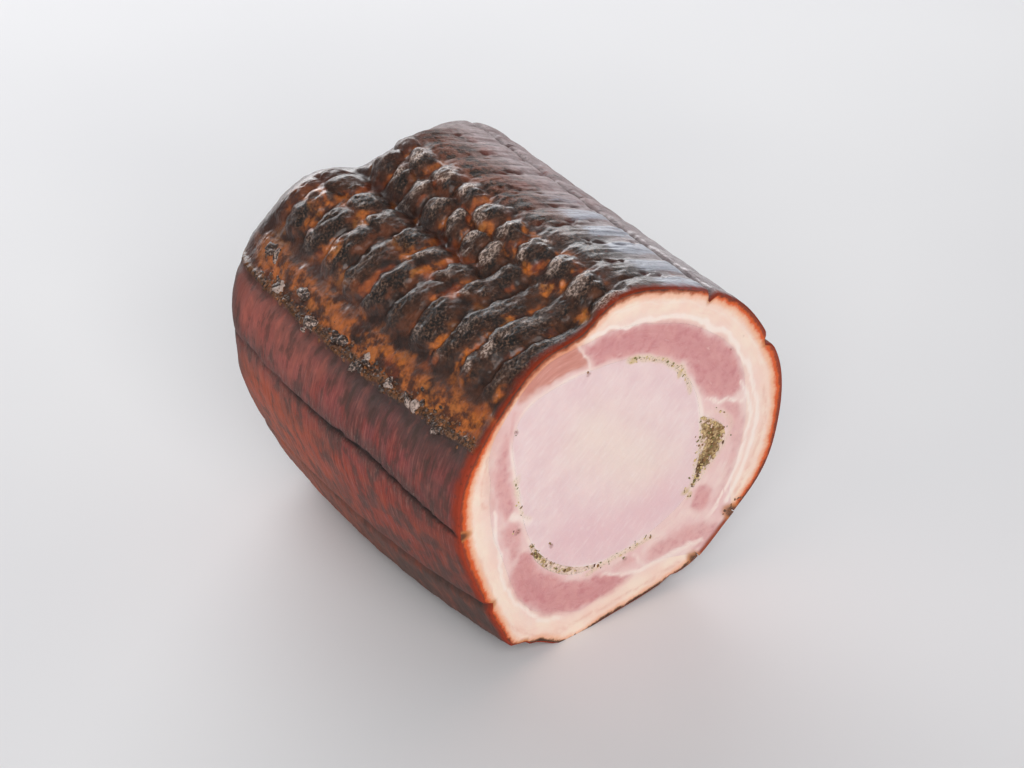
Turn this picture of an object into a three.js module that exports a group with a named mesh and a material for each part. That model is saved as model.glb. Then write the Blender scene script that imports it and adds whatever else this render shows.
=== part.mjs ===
import * as THREE from "three";
import { mergeVertices } from "three/addons/utils/BufferGeometryUtils.js";

// A rolled and smoked pork roast, in millimetres, +Z up. A pale loin is wrapped in a sheet of
// belly, with herbs between them. The roll lies on its side with its axis along Y: the cut
// face looks along -Y, and the browned end along +Y.
// A place in the roast is an angle about the axis (degrees, from +X towards +Z), a radius,
// and a distance behind the cut face.

// Driving sizes
const ROAST_LENGTH = 140.5;
const AXIS_HEIGHT = 64.2;
const AXIS_X = 1.6;
const GAP = 0.3;

// How the roll swells and sags along its length
const SWELL_SPAN = 119;
const SWELL_SHARE = 0.027;
const TAPER_SHARE = 0.006;
const SAG_X = -1.6;
const SAG_Z = -1.15;

// Browned end
const END_ROUNDING = 13;
const END_CENTRE_SHORT = 4;
const END_FLAT_SHARE = 0.25;
const LAYER_CROWN = 1.4;
const FULL_CROWN_WIDTH = 12;

// Marks that the roasting net pressed in: one round every NET_PITCH, the first behind the cut
const NET_PITCH = 12.6;
const NET_FIRST = 8;
const NET_DEPTH = 3.4;
const NET_CREST = 0.6;
const NET_WANDER = 1.1;
const NET_WANDER_WAVES = 4;
const NET_WANDER_TWIST = 1.7;
const NET_UNEVEN = 0.2;
const NET_UNEVEN_WAVES = 18;
const NET_UNEVEN_TURN = 137.5;
const PILLOW_ROUNDNESS = 0.8;
const RELIEF_FADE = 5;
const CREASE_RUN_IN = 12;
const EDGE_FADE = 7;
const THINNEST_SKIN = 0.9;

// Outside of the cut face: angle and radius, without the creases
const OUTLINE = [
  [-176, 67.0], [-162, 65.3], [-148, 66.3], [-138, 68.9], [-129, 72.4],
  [-121, 69.3], [-109, 69.9], [-99, 65.2], [-88, 63.3], [-73, 63.9],
  [-62, 66.3], [-47, 66.0], [-28, 69.4], [-12, 68.6], [6, 67.3],
  [22, 64.6], [40, 63.6], [56, 62.6], [72, 63.1], [93, 66.4],
  [108, 61.9], [122, 65.9], [140, 66.6], [152, 67.7], [164, 69.0],
];

// Edge of the loin: angle and radius
const LOIN = [
  [-170, 41.6], [-150, 41.2], [-132, 40.6], [-110, 39.8], [-88, 37.9],
  [-66, 37.9], [-46, 38.9], [-30, 35.8], [-12, 32.8], [10, 31.8],
  [35, 33.0], [55, 34.5], [80, 38.5], [105, 43.5], [122, 50.0],
  [136, 56.0], [147, 54.5], [158, 48.5], [172, 43.3],
];

// Rind and fat together, inwards from the outside: angle and thickness. Where the sheet's two
// ends meet, between its last angle and its first, the lean comes out to the surface.
const FAT = [
  [-43, 3.5], [-36, 11.0], [-26, 15.5], [-10, 16.0], [6, 15.6], [22, 12.8],
  [42, 13.4], [62, 12.7], [80, 13.2], [94, 12.2], [104, 6.8], [112, 4.2],
  [146, 4.2], [155, 6.8], [164, 11.8], [192, 12.6], [220, 11.5], [231, 14.0],
  [244, 12.6], [268, 12.0], [280, 13.0], [290, 10.5], [297, 6.0], [300, 3.0],
];

// Herb fillings against the loin: angle and thickness
const HERB_POCKET = [
  [-41, 1.2], [-36, 3.2], [-30, 4.6], [-24, 8.2], [-16, 11.0], [-8, 9.5], [-2, 5.5], [3, 1.5],
];
const HERB_SEAM = [[-157, 1.0], [-145, 2.4], [-120, 2.6], [-107, 1.0]];

// How much the browned end falls short of ROAST_LENGTH near the outside, by angle
const END_SHORT = [
  [-168, 4.5], [-140, 1.5], [-90, 3.5], [-30, 2.5], [30, 1.5], [52, 3.5], [66, 8.5],
  [79, 14.5], [94, 19], [104, 15.5], [112, 7.5], [122, 4.5], [138, 2], [152, 0.5],
  [166, 4], [178, 7],
];

// Share of NET_DEPTH that the net's rounds reach, by angle
const NET_STRENGTH = [
  [-178, 0.1], [-120, 0.15], [-60, 0.25], [0, 0.3], [50, 0.4], [76, 0.5],
  [92, 0.9], [104, 1.0], [128, 1.0], [142, 0.55], [149, 0.7], [156, 0.1],
];

// Creases along the roll: angle at the cut and at the browned end, depth at both, half width
// in degrees, and where they begin behind the cut
const CREASES = [
  { from: 54.5, to: 53.5, depth: [3.4, 1.6], width: 2.0, start: 0 },
  { from: 18.6, to: 17, depth: [2.6, 1.6], width: 2.2, start: 0 },
  { from: -71, to: -72, depth: [1.2, 1.0], width: 2.2, start: 0 },
  { from: -126.6, to: -126, depth: [2.4, 1.2], width: 1.5, start: 0 },
  { from: -148.5, to: -147, depth: [2.2, 1.4], width: 2.2, start: 0 },
  { from: 179.5, to: 172.5, depth: [2.6, 2.4], width: 2.2, start: 0 },
  { from: 154.5, to: 154.5, depth: [0.9, 1.1], width: 2.0, start: 2 },
  { from: 141, to: 138, depth: [1.5, 1.8], width: 4.0, start: 3 },
  { from: 121, to: 118, depth: [1.0, 1.6], width: 2.5, start: 36 },
  { from: 109, to: 106.5, depth: [0.8, 2.4], width: 3.6, start: 50 },
  { from: 102, to: 93.5, depth: [1.8, 1.4], width: 2.6, start: 2 },
  { from: 90, to: 88, depth: [1.0, 0.8], width: 2.4, start: 2 },
];

// Steps of the surface mesh
const KNOB_ZONE = { from: 86, to: 152, step: 3.5 };
const PLAIN_STEP = 7.5;
const CREASE_ZONE = { from: 170, to: 182, step: 1.5 };
const CLOSEST_COLUMNS = 1.1;
const ROWS_PER_ROUND = 4;
const FINE_ROWS = 31;
const FRONT_ROWS = [0, 1.6, 3.4, 5.6];
const END_ROWS = 11;
const WALL_ROWS = 5;
const LEAN_END_ROWS = 4;
const LOIN_END_ROWS = 4;
const HERB_END_ROWS = 2;
const STEP_ANGLE = 0.4;
const NARROW_CREASE = 2.2;

const radians = THREE.MathUtils.degToRad;
const smoothstep = THREE.MathUtils.smoothstep;
const lerp = THREE.MathUtils.lerp;

function wrapped(angle) {
  return THREE.MathUtils.euclideanModulo(angle + 180, 360) - 180;
}

// Smooth curve through [position, value] stations, held level past both ends
function curveThrough(stations) {
  const last = stations.length - 1;
  const slope = (i) => {
    const before = stations[Math.max(i - 1, 0)];
    const after = stations[Math.min(i + 1, last)];
    return i === 0 || i === last ? 0 : (after[1] - before[1]) / (after[0] - before[0]);
  };
  const slopes = stations.map((_, i) => slope(i));
  return (position) => {
    const x = THREE.MathUtils.clamp(position, stations[0][0], stations[last][0]);
    let i = 0;
    while (i < last - 1 && x > stations[i + 1][0]) {
      i += 1;
    }
    const span = stations[i + 1][0] - stations[i][0];
    const t = (x - stations[i][0]) / span;
    const rise = stations[i + 1][1] - stations[i][1];
    const bend = (1 - t) * (slopes[i] * span - rise) - t * (slopes[i + 1] * span - rise);
    return stations[i][1] + rise * t + t * (1 - t) * bend;
  };
}

// The same round a full turn
function curveAround(stations) {
  const turned = (turn) => stations.map(([angle, value]) => [angle + turn, value]);
  const curve = curveThrough([...turned(-360), ...stations, ...turned(360)]);
  return (angle) => curve(wrapped(angle));
}

const outline = curveAround(OUTLINE);
const loinRadius = curveAround(LOIN);
const fatThickness = curveThrough(FAT);
const pocketThickness = curveThrough(HERB_POCKET);
const seamThickness = curveThrough(HERB_SEAM);
const endShort = curveAround(END_SHORT);
const netStrength = curveAround(NET_STRENGTH);

const FAT_FROM = FAT[0][0];
const FAT_TO = FAT[FAT.length - 1][0];

// Angle counted on from the sheet's first end, so that it runs once round the roll
function alongSheet(angle) {
  return FAT_FROM + THREE.MathUtils.euclideanModulo(angle - FAT_FROM, 360);
}

function swell(distance) {
  const t = distance / SWELL_SPAN;
  return 4 * t * (1 - t);
}

// Point of the roast for an angle, a radius and a distance behind the cut
function place(angle, radius, distance) {
  const belly = swell(distance);
  const scale = 1 - (TAPER_SHARE * distance) / SWELL_SPAN + SWELL_SHARE * belly;
  const x = AXIS_X + radius * scale * Math.cos(radians(angle)) + SAG_X * belly;
  const z = AXIS_HEIGHT + radius * scale * Math.sin(radians(angle)) + SAG_Z * belly;
  return new THREE.Vector3(x, distance - ROAST_LENGTH / 2, Math.max(z, 0));
}

function runIn(start, distance) {
  return smoothstep(distance, start, start + CREASE_RUN_IN);
}

// Depth of the lengthwise creases
function creaseDepth(angle, distance) {
  const along = THREE.MathUtils.clamp(distance / ROAST_LENGTH, 0, 1);
  return CREASES.reduce((sum, crease) => {
    const off = wrapped(angle - lerp(crease.from, crease.to, along)) / crease.width;
    const begun = crease.start === 0 ? 1 : runIn(crease.start, distance);
    const depth = lerp(crease.depth[0], crease.depth[1], along);
    return sum + begun * depth * Math.exp(-off * off);
  }, 0);
}

// Depth of the net's rounds: each pillow between two of them rises slowly and drops behind
function netDepth(angle, distance) {
  const wave = angle * NET_WANDER_WAVES + distance * NET_WANDER_TWIST;
  const wander = NET_WANDER * Math.sin(radians(wave));
  const round = (distance - NET_FIRST + wander) / NET_PITCH;
  const phase = round - Math.floor(round);
  const skew = Math.log(0.5) / Math.log(NET_CREST);
  const pillow = Math.sin(Math.PI * phase ** skew) ** PILLOW_ROUNDNESS;
  const unevenWave = angle * NET_UNEVEN_WAVES + Math.floor(round) * NET_UNEVEN_TURN;
  const uneven = 1 - NET_UNEVEN + NET_UNEVEN * Math.sin(radians(unevenWave));
  return NET_DEPTH * uneven * netStrength(angle) * (1 - pillow);
}

function reliefDepth(angle, distance) {
  const faded = smoothstep(distance, 0, RELIEF_FADE);
  const atCut = creaseDepth(angle, 0) * (1 - faded);
  return atCut + faded * (creaseDepth(angle, distance) + netDepth(angle, distance));
}

// Distance of the browned end, before its corner is rounded
function endAt(angle, radius) {
  const share = smoothstep(radius / outline(angle), END_FLAT_SHARE, 1);
  return ROAST_LENGTH - lerp(END_CENTRE_SHORT, endShort(angle), share);
}

// Point on the browned end's profile, at an inset from the outside
function endPoint(angle, inset) {
  const radius = outline(angle) - inset;
  const turn = Math.acos(THREE.MathUtils.clamp(1 - inset / END_ROUNDING, 0, 1));
  const distance = endAt(angle, radius) - END_ROUNDING * (1 - Math.sin(turn));
  return { radius, distance, turn };
}

// Length along the rounded corner and the end for an inset, and back
function insetToLength(inset) {
  const turn = Math.acos(THREE.MathUtils.clamp(1 - inset / END_ROUNDING, 0, 1));
  return END_ROUNDING * turn + Math.max(0, inset - END_ROUNDING);
}

function lengthToInset(length) {
  const corner = (END_ROUNDING * Math.PI) / 2;
  if (length > corner) {
    return END_ROUNDING + length - corner;
  }
  return END_ROUNDING * (1 - Math.cos(length / END_ROUNDING));
}

// Profile points on the browned end from one radius in to another, crowned between them
function endProfile(angle, outer, inner, rows) {
  const reach = outline(angle);
  const from = insetToLength(reach - outer);
  const to = insetToLength(reach - inner);
  const crown = LAYER_CROWN * Math.min(1, (outer - inner) / FULL_CROWN_WIDTH);
  const points = [];
  for (let row = 0; row <= rows; row += 1) {
    const share = row / rows;
    const point = endPoint(angle, lengthToInset(lerp(from, to, share)));
    points.push([point.radius, point.distance + crown * Math.sin(Math.PI * share)]);
  }
  return points;
}

// Straight wall of a layer, from the cut to the browned end
function wall(angle, radius) {
  const far = endPoint(angle, outline(angle) - radius).distance;
  const points = [];
  for (let row = 0; row <= WALL_ROWS; row += 1) {
    points.push([radius, (far * row) / WALL_ROWS]);
  }
  return points;
}

// Outer skin of the sheet, from the cut along the roll and over the end to its inner edge
function skin(angle, inner) {
  const straight = endPoint(angle, 0).distance;
  const total = straight + insetToLength(outline(angle) - inner);
  const lengths = [...FRONT_ROWS];
  for (let row = 0; row <= FINE_ROWS; row += 1) {
    lengths.push(NET_FIRST + (row * NET_PITCH) / ROWS_PER_ROUND);
  }
  const fineEnd = lengths[lengths.length - 1];
  for (let row = 1; row <= END_ROWS; row += 1) {
    lengths.push(lerp(fineEnd, total, row / END_ROWS));
  }
  return lengths.map((length) => {
    const past = length - straight;
    const point = past > 0 ? endPoint(angle, lengthToInset(past)) : null;
    const base = point ?? { radius: outline(angle), distance: length, turn: 0 };
    const fade = 1 - smoothstep(length, total - EDGE_FADE, total);
    const depth = fade * reliefDepth(angle, length);
    const least = inner + fade * THINNEST_SKIN;
    const radius = Math.max(base.radius - depth * Math.cos(base.turn), least);
    return [radius, base.distance - depth * Math.sin(base.turn)];
  });
}

function fatInner(angle) {
  return outline(angle) - fatThickness(alongSheet(angle));
}

// Outside of the lean: under the fat, or at the surface where the sheet's ends meet
function leanOuter(angle) {
  const along = alongSheet(angle);
  const pastLast = along - FAT_TO;
  const beforeFirst = FAT_FROM + 360 - along;
  if (Math.min(pastLast, beforeFirst) > 1.5 * STEP_ANGLE) {
    return outline(angle) - creaseDepth(angle, 0);
  }
  const nearest = beforeFirst < pastLast ? FAT_FROM : along;
  return outline(angle) - fatThickness(nearest) - GAP;
}

const HERBS = [
  { stations: HERB_POCKET, thickness: pocketThickness },
  { stations: HERB_SEAM, thickness: seamThickness },
];

// Inside of the lean: round the loin and over the herbs
function leanInner(angle) {
  const inside = wrapped(angle);
  const over = HERBS.map(({ stations, thickness }) => {
    const low = stations[0][0] - 2 * STEP_ANGLE;
    const high = stations[stations.length - 1][0] + 2 * STEP_ANGLE;
    return inside > low && inside < high ? thickness(inside) + GAP : 0;
  });
  return loinRadius(angle) + GAP + Math.max(...over);
}

// Angles of the mesh's columns: fine over the knobs, and on both sides of each crease and end
function columnAngles() {
  const wanted = [];
  [...HERBS.map((herb) => herb.stations), FAT].forEach((stations) => {
    [stations[0][0], stations[stations.length - 1][0]].forEach((angle, end) => {
      const outwards = end === 0 ? -STEP_ANGLE : STEP_ANGLE;
      [0, 1, 2.5].forEach((steps) => wanted.push(wrapped(angle + steps * outwards)));
    });
  });
  const add = (angle) => {
    const close = wanted.some((other) => {
      return Math.abs(wrapped(other - angle)) < CLOSEST_COLUMNS;
    });
    if (!close) {
      wanted.push(wrapped(angle));
    }
  };
  CREASES.filter((crease) => crease.width <= NARROW_CREASE).forEach((crease) => {
    [0, -1, 1].forEach((side) => add(crease.from + side * crease.width));
  });
  [CREASE_ZONE, KNOB_ZONE].forEach((zone) => {
    for (let angle = zone.from; angle < zone.to; angle += zone.step) {
      add(angle);
    }
  });
  for (let angle = -180; angle < 180; angle += PLAIN_STEP) {
    const near = wanted.some((other) => {
      return Math.abs(wrapped(other - angle)) < PLAIN_STEP / 2;
    });
    if (!near) {
      wanted.push(angle);
    }
  }
  return wanted.sort((a, b) => a - b);
}

const COLUMNS = columnAngles();

// Columns from one angle round to another, both included
function columnsBetween(from, to) {
  const span = THREE.MathUtils.euclideanModulo(to - from, 360);
  return COLUMNS.map((angle) => THREE.MathUtils.euclideanModulo(angle - from, 360))
    .filter((turn) => turn <= span + 1e-6)
    .sort((a, b) => a - b)
    .map((turn) => from + turn);
}

// Closed mesh swept round the axis: profileAt gives the same number of [radius, distance]
// points at every angle, in a loop from the cut, out over the end and back inside. A sweep
// that isn't a full turn gets a side at both ends.
function sweep(angles, full, profileAt) {
  const profiles = angles.map((angle) => profileAt(angle));
  const count = profiles[0].length;
  const positions = profiles.flatMap((profile, column) => {
    return profile.flatMap(([radius, distance]) => {
      return place(angles[column], radius, distance).toArray();
    });
  });
  const faces = [];
  const columns = full ? angles.length : angles.length - 1;
  for (let column = 0; column < columns; column += 1) {
    const next = (column + 1) % angles.length;
    for (let row = 0; row < count; row += 1) {
      const after = (row + 1) % count;
      const a = column * count + row;
      const b = next * count + row;
      const c = next * count + after;
      const d = column * count + after;
      faces.push(a, c, b, a, d, c);
    }
  }
  if (!full) {
    const lastColumn = angles.length - 1;
    faces.push(...sideFaces(profiles[0], 0, true));
    faces.push(...sideFaces(profiles[lastColumn], lastColumn * count, false));
  }
  return closedGeometry(positions, faces);
}

// Faces across a profile's loop, laid between its outer and its inner side row by row
function sideFaces(profile, first, reversed) {
  const faces = [];
  let outer = 0;
  let inner = profile.length - 1;
  while (outer + 1 < inner) {
    const outerFirst = profile[outer + 1][1] < profile[inner - 1][1];
    const corner = outerFirst ? outer + 1 : inner - 1;
    const face = [outer, corner, inner].map((point) => first + point);
    faces.push(...(reversed ? face.reverse() : face));
    if (outerFirst) {
      outer += 1;
    } else {
      inner -= 1;
    }
  }
  return faces;
}

// Shares vertices, drops faces with no width and turns the surface outwards
function closedGeometry(positions, faces) {
  const loose = new THREE.BufferGeometry();
  loose.setAttribute("position", new THREE.Float32BufferAttribute(positions, 3));
  loose.setIndex(faces);
  const geometry = mergeVertices(loose, 1e-4);
  const index = Array.from(geometry.index.array);
  const kept = [];
  for (let i = 0; i < index.length; i += 3) {
    const [a, b, c] = index.slice(i, i + 3);
    if (a !== b && b !== c && c !== a) {
      kept.push(a, b, c);
    }
  }
  if (signedVolume(geometry.attributes.position, kept) < 0) {
    kept.reverse();
  }
  geometry.setIndex(kept);
  geometry.computeVertexNormals();
  return geometry;
}

function signedVolume(position, index) {
  const corners = [new THREE.Vector3(), new THREE.Vector3(), new THREE.Vector3()];
  let sum = 0;
  for (let i = 0; i < index.length; i += 3) {
    corners.forEach((corner, k) => corner.fromBufferAttribute(position, index[i + k]));
    sum += corners[0].dot(corners[1].cross(corners[2]));
  }
  return sum / 6;
}

function fatAndRind() {
  return sweep(columnsBetween(FAT_FROM, FAT_TO), false, (angle) => {
    const inner = fatInner(angle);
    return [...skin(angle, inner), ...wall(angle, inner).reverse().slice(1)];
  });
}

function bellyLean() {
  return sweep(COLUMNS, true, (angle) => {
    const outer = leanOuter(angle);
    const inner = leanInner(angle);
    const end = endProfile(angle, outer, inner, LEAN_END_ROWS).slice(1, -1);
    return [...wall(angle, outer), ...end, ...wall(angle, inner).reverse()];
  });
}

function loin() {
  return sweep(COLUMNS, true, (angle) => {
    const outer = loinRadius(angle);
    const end = endProfile(angle, outer, 0, LOIN_END_ROWS).slice(1);
    return [[0, 0], ...wall(angle, outer), ...end];
  });
}

function herbFilling({ stations, thickness }) {
  const angles = columnsBetween(stations[0][0], stations[stations.length - 1][0]);
  return sweep(angles, false, (angle) => {
    const inner = loinRadius(angle) + GAP;
    const outer = inner + thickness(wrapped(angle));
    const end = endProfile(angle, outer, inner, HERB_END_ROWS).slice(1, -1);
    return [...wall(angle, outer), ...end, ...wall(angle, inner).reverse()];
  });
}

function solid(name, geometry, color, roughness) {
  const material = new THREE.MeshStandardMaterial({ color, roughness, metalness: 0 });
  const mesh = new THREE.Mesh(geometry, material);
  mesh.name = name;
  return mesh;
}

const roast = new THREE.Group();
roast.name = "pork_roast";
roast.add(solid("fat_and_rind", fatAndRind(), 0x6b3f2c, 0.45));
roast.add(solid("belly_lean", bellyLean(), 0xc98a90, 0.5));
roast.add(solid("loin", loin(), 0xe6cdd0, 0.5));
roast.add(solid("herb_pocket", herbFilling(HERBS[0]), 0x8a7a48, 0.8));
roast.add(solid("herb_seam", herbFilling(HERBS[1]), 0x94845a, 0.8));

export default roast;
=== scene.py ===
import bmesh
import bpy
import numpy as np
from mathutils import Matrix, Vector


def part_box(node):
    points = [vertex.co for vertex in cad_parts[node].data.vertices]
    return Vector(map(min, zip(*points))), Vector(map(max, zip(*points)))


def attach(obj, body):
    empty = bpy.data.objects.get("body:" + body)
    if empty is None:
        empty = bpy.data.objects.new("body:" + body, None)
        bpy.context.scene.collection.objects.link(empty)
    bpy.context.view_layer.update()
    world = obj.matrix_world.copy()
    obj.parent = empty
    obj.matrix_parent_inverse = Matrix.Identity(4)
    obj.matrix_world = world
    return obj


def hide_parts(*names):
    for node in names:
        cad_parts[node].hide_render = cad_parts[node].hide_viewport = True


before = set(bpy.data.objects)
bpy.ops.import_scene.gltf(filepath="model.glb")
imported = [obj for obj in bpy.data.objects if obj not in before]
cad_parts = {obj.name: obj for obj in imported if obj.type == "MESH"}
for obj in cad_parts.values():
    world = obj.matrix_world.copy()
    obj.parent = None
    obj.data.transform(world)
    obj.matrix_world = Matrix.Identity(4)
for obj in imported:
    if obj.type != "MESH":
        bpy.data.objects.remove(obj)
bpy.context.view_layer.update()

MM = 0.001

# Driving sizes of the roast in millimetres, the same as in its solids but for the first knob groove.
# A place in the roast is an angle about the axis (degrees, from +X towards +Z), a radius, and a
# distance behind the cut.
ROAST_LENGTH = 140.5
AXIS_HEIGHT = 64.2
AXIS_X = 1.6
GAP = 0.3
CLOSE_GAP = 0.02

SWELL_SPAN = 119
SWELL_SHARE = 0.027
TAPER_SHARE = 0.006
SAG_X = -1.6
SAG_Z = -1.15

END_ROUNDING = 13
END_CENTRE_SHORT = 4
END_FLAT_SHARE = 0.25
LAYER_CROWN = 1.4
FULL_CROWN_WIDTH = 12
RIM_ROUNDING = 0.7
RIB_SHARE = 0.45
KNOB_SHARE = 0.85

NET_PITCH = 12.6
NET_FIRST = 8
NET_DEPTH = 3.4
NET_CREST = 0.6
NET_WANDER = 1.1
NET_WANDER_WAVES = 4
NET_WANDER_TWIST = 1.7
NET_UNEVEN = 0.2
NET_UNEVEN_WAVES = 18
NET_UNEVEN_TURN = 137.5
PILLOW_ROUNDNESS = 0.8
RELIEF_FADE = 5
CREASE_RUN_IN = 12
EDGE_FADE = 7
THINNEST_SKIN = 0.9

# Outside of the cut face: angle and radius, without the creases
OUTLINE = [
    (-176, 67.0), (-162, 65.3), (-148, 66.3), (-138, 68.9), (-129, 72.4),
    (-121, 69.3), (-109, 69.9), (-99, 65.2), (-88, 63.3), (-73, 63.9),
    (-62, 66.3), (-47, 66.0), (-28, 69.4), (-12, 68.6), (6, 67.3),
    (22, 64.6), (40, 63.6), (56, 62.6), (72, 63.1), (93, 66.4),
    (108, 61.9), (122, 65.9), (140, 66.6), (152, 67.7), (164, 69.0),
]

# Edge of the loin: angle and radius
LOIN = [
    (-170, 41.6), (-150, 41.2), (-132, 40.6), (-110, 39.8), (-88, 37.9),
    (-66, 37.9), (-46, 38.9), (-30, 35.8), (-12, 32.8), (10, 31.8),
    (35, 33.0), (55, 34.5), (80, 38.5), (105, 43.5), (122, 50.0),
    (136, 56.0), (147, 54.5), (158, 48.5), (172, 43.3),
]

# Rind and fat together: angle and thickness
FAT = [
    (-43, 3.5), (-36, 11.0), (-26, 15.5), (-10, 16.0), (6, 15.6), (22, 12.8),
    (42, 13.4), (62, 12.7), (80, 13.2), (94, 12.2), (104, 6.8), (112, 4.2),
    (146, 4.2), (155, 6.8), (164, 11.8), (192, 12.6), (220, 11.5), (231, 14.0),
    (244, 12.6), (268, 12.0), (280, 13.0), (290, 10.5), (297, 6.0), (300, 3.0),
]

# Herb fillings against the loin: angle and thickness
HERB_POCKET = [
    (-41, 1.2), (-36, 3.2), (-30, 4.6), (-24, 8.2), (-16, 11.0), (-8, 9.5), (-2, 5.5), (3, 1.5),
]
HERB_SEAM = [(-157, 1.0), (-145, 2.4), (-120, 2.6), (-107, 1.0)]

# How much the browned end falls short of ROAST_LENGTH near the outside, by angle
END_SHORT = [
    (-168, 4.5), (-140, 1.5), (-90, 3.5), (-30, 2.5), (30, 1.5), (52, 3.5), (66, 8.5),
    (79, 14.5), (94, 19), (104, 15.5), (112, 7.5), (122, 4.5), (138, 2), (152, 0.5),
    (166, 4), (178, 7),
]

# Share of NET_DEPTH that the net's rounds reach, by angle
NET_STRENGTH = [
    (-178, 0.1), (-120, 0.15), (-60, 0.25), (0, 0.3), (50, 0.4), (76, 0.5),
    (92, 0.9), (104, 1.0), (128, 1.0), (142, 0.55), (149, 0.7), (156, 0.1),
]

# Lengthwise creases: angle at the cut and at the browned end, depth at both, half width in degrees,
# and where they begin behind the cut
CREASES = {
    "top": (54.5, 53.5, 3.4, 1.6, 1.6, 0),
    "right": (18.6, 17.0, 2.6, 1.6, 2.0, 0),
    "under": (-71.0, -72.0, 1.2, 1.0, 2.0, 0),
    "foot": (-126.6, -126.0, 2.4, 1.2, 1.5, 0),
    "low_side": (-148.5, -147.0, 2.2, 0.3, 1.8, 0),
    "border": (154.5, 154.5, 0.9, 1.1, 1.6, 2),
    "strip": (141.0, 138.0, 1.2, 1.5, 4.0, 3),
    "lobes": (109.0, 106.5, 0.8, 2.4, 3.0, 50),
}

# Grooves that part the knobs on top: angle at the cut and at the browned end, and their start. The
# first lies a little nearer the border than in the solids.
KNOB_GROOVES = [
    (140.5, 139.5, -20), (121.5, 118.0, 30), (109.0, 106.5, 46), (101.5, 94.0, -20), (90.0, 88.0, -20),
]

# The dark crack along the side: distance behind the cut and angle
SIDE_CRACK = [
    (0, 179.3), (10, 178.2), (20, 176.8), (30, 174.6), (40, 173.4), (50, 172.6), (58, 172.5),
    (70, 173.1), (90, 173.0), (110, 172.6),
]
SIDE_CRACK_DEPTH = 1.4
SIDE_CRACK_WIDTH = 0.6
SIDE_DIP_DEPTH = 0.5
SIDE_DIP_WIDTH = 2.8
SIDE_CRACK_FAR_SHARE = 0.45
SIDE_CRACK_FADE = (62, 110)

# Zones round the roll, by the angles where each begins, is full, begins to fade and is gone
KNOB_ZONE = (85, 93, 151, 153.5)
SIDE_ZONE = (151, 154.5)
CHARRED_RIBS = (72, 85)
RIGHT_SIDE = (8, 44)
GLEAM = (50, 60, 69, 81)
TOP_RIM = (52, 68, 136, 152)
UNDER_RIM = (222, 240, 306, 318)
BLED_GLAZE = (110, 120)
SPARSE_SEAM = (-149, -138, -60, -50)
HERB_TAIL = (-60, -50, -31, -22)
POCKET_PEAK_SHIFTS = (-34, -20)
POCKET_TOP_FADES = (-9, 2)

# Zones along the roll, by the distances behind the cut where each begins and is full, or begins to
# fade and is gone. OVER_END counts from where the skin turns over the far end.
BLED_ALONG = (50, 95)
STRIP_SHIFTS = (20, 100)
CREST_ASH_AND_HIGHLIGHT_END = (108, 120)
GLEAM_ENDS = (40, 80)
ASH_BEGINS = (0, 25)
BARE_RELIEF_BEGINS = (0, 4)
BARE_RELIEF_ENDS = (120, 132)
OVER_END = (-7, 8)

# Angle of the border between side and top, and in degrees its ridge of crust, the edge of the strip
# of glaze, and the ash above the crack
BORDER = 151.8
RIDGE_WIDTH = 1.1
RIDGE_WANDER = 1.6
STRIP_EDGE = (3, 8)
ASH_OFF_CRACK = -1
ASH_WIDTH = 4.5

# Steps of the surface mesh: angle from, angle to and step, counted on from the sheet's first end
COLUMN_ZONES = [
    (-43, 20, 1.9), (20, 86, 0.95), (86, 156, 0.48), (156, 184, 0.85), (184, 230, 1.3), (230, 300, 2.2),
    (300, 317, 1.4),
]
STEP_ANGLE = 0.14
CLOSE_STEPS = (0, 1, 2.5)
LINE_STEPS = 5
SKIN_STEP = 0.62
SKIN_STRAIGHT = 126
SKIN_END_ROWS = 46
RIM_ROWS = (0, 0.12, 0.35, 0.7)
FACE_ROWS = 16
LEAN_FACE_ROWS = 20
LOIN_FACE_ROWS = 52
WALL_ROWS = 5
LEAN_WALL_ROWS = 44
LAYER_END_ROWS = 10
LOIN_END_ROWS = 26
HERB_FACE_ROWS = 12


def smooth(value, low, high):
    """0 below low, 1 above high, and an even rise between them."""
    share = np.clip((value - low) / (high - low), 0, 1)
    return share * share * (3 - 2 * share)


def between(value, start, full, fading_from, gone):
    """1 between full and fading_from, and 0 before start and once gone."""
    return smooth(value, start, full) * (1 - smooth(value, fading_from, gone))


def fading(off, width):
    """1 where off is 0, fading out over a width."""
    return np.exp(-(off / width) ** 2)


def blend(a, b, share):
    """a where the share is 0, and b where it is 1."""
    return a + (b - a) * share


def wrapped(angle):
    return (angle + 180) % 360 - 180


def curve_through(stations):
    """Smooth curve through (position, value) stations, held level past both ends."""
    at, value = np.array(stations, float).T
    slope = np.zeros(len(at))
    slope[1:-1] = (value[2:] - value[:-2]) / (at[2:] - at[:-2])

    def curve(position):
        x = np.clip(position, at[0], at[-1])
        i = np.clip(np.searchsorted(at, x) - 1, 0, len(at) - 2)
        span = at[i + 1] - at[i]
        rise = value[i + 1] - value[i]
        t = (x - at[i]) / span
        bend = (1 - t) * (slope[i] * span - rise) - t * (slope[i + 1] * span - rise)
        return value[i] + rise * t + t * (1 - t) * bend

    return curve


def curve_around(stations):
    """The same round a full turn."""
    turned = [(angle + turn, value) for turn in (-360, 0, 360) for angle, value in stations]
    curve = curve_through(turned)
    return lambda angle: curve(wrapped(angle))


outline = curve_around(OUTLINE)
loin_radius = curve_around(LOIN)
fat_thickness = curve_through(FAT)
end_short = curve_around(END_SHORT)
net_strength = curve_around(NET_STRENGTH)
side_crack = curve_through(SIDE_CRACK)

FAT_FROM = FAT[0][0]
FAT_TO = FAT[-1][0]


def along_sheet(angle):
    """Angle counted on from the sheet's first end, so that it runs once round the roll."""
    return FAT_FROM + (angle - FAT_FROM) % 360


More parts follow.
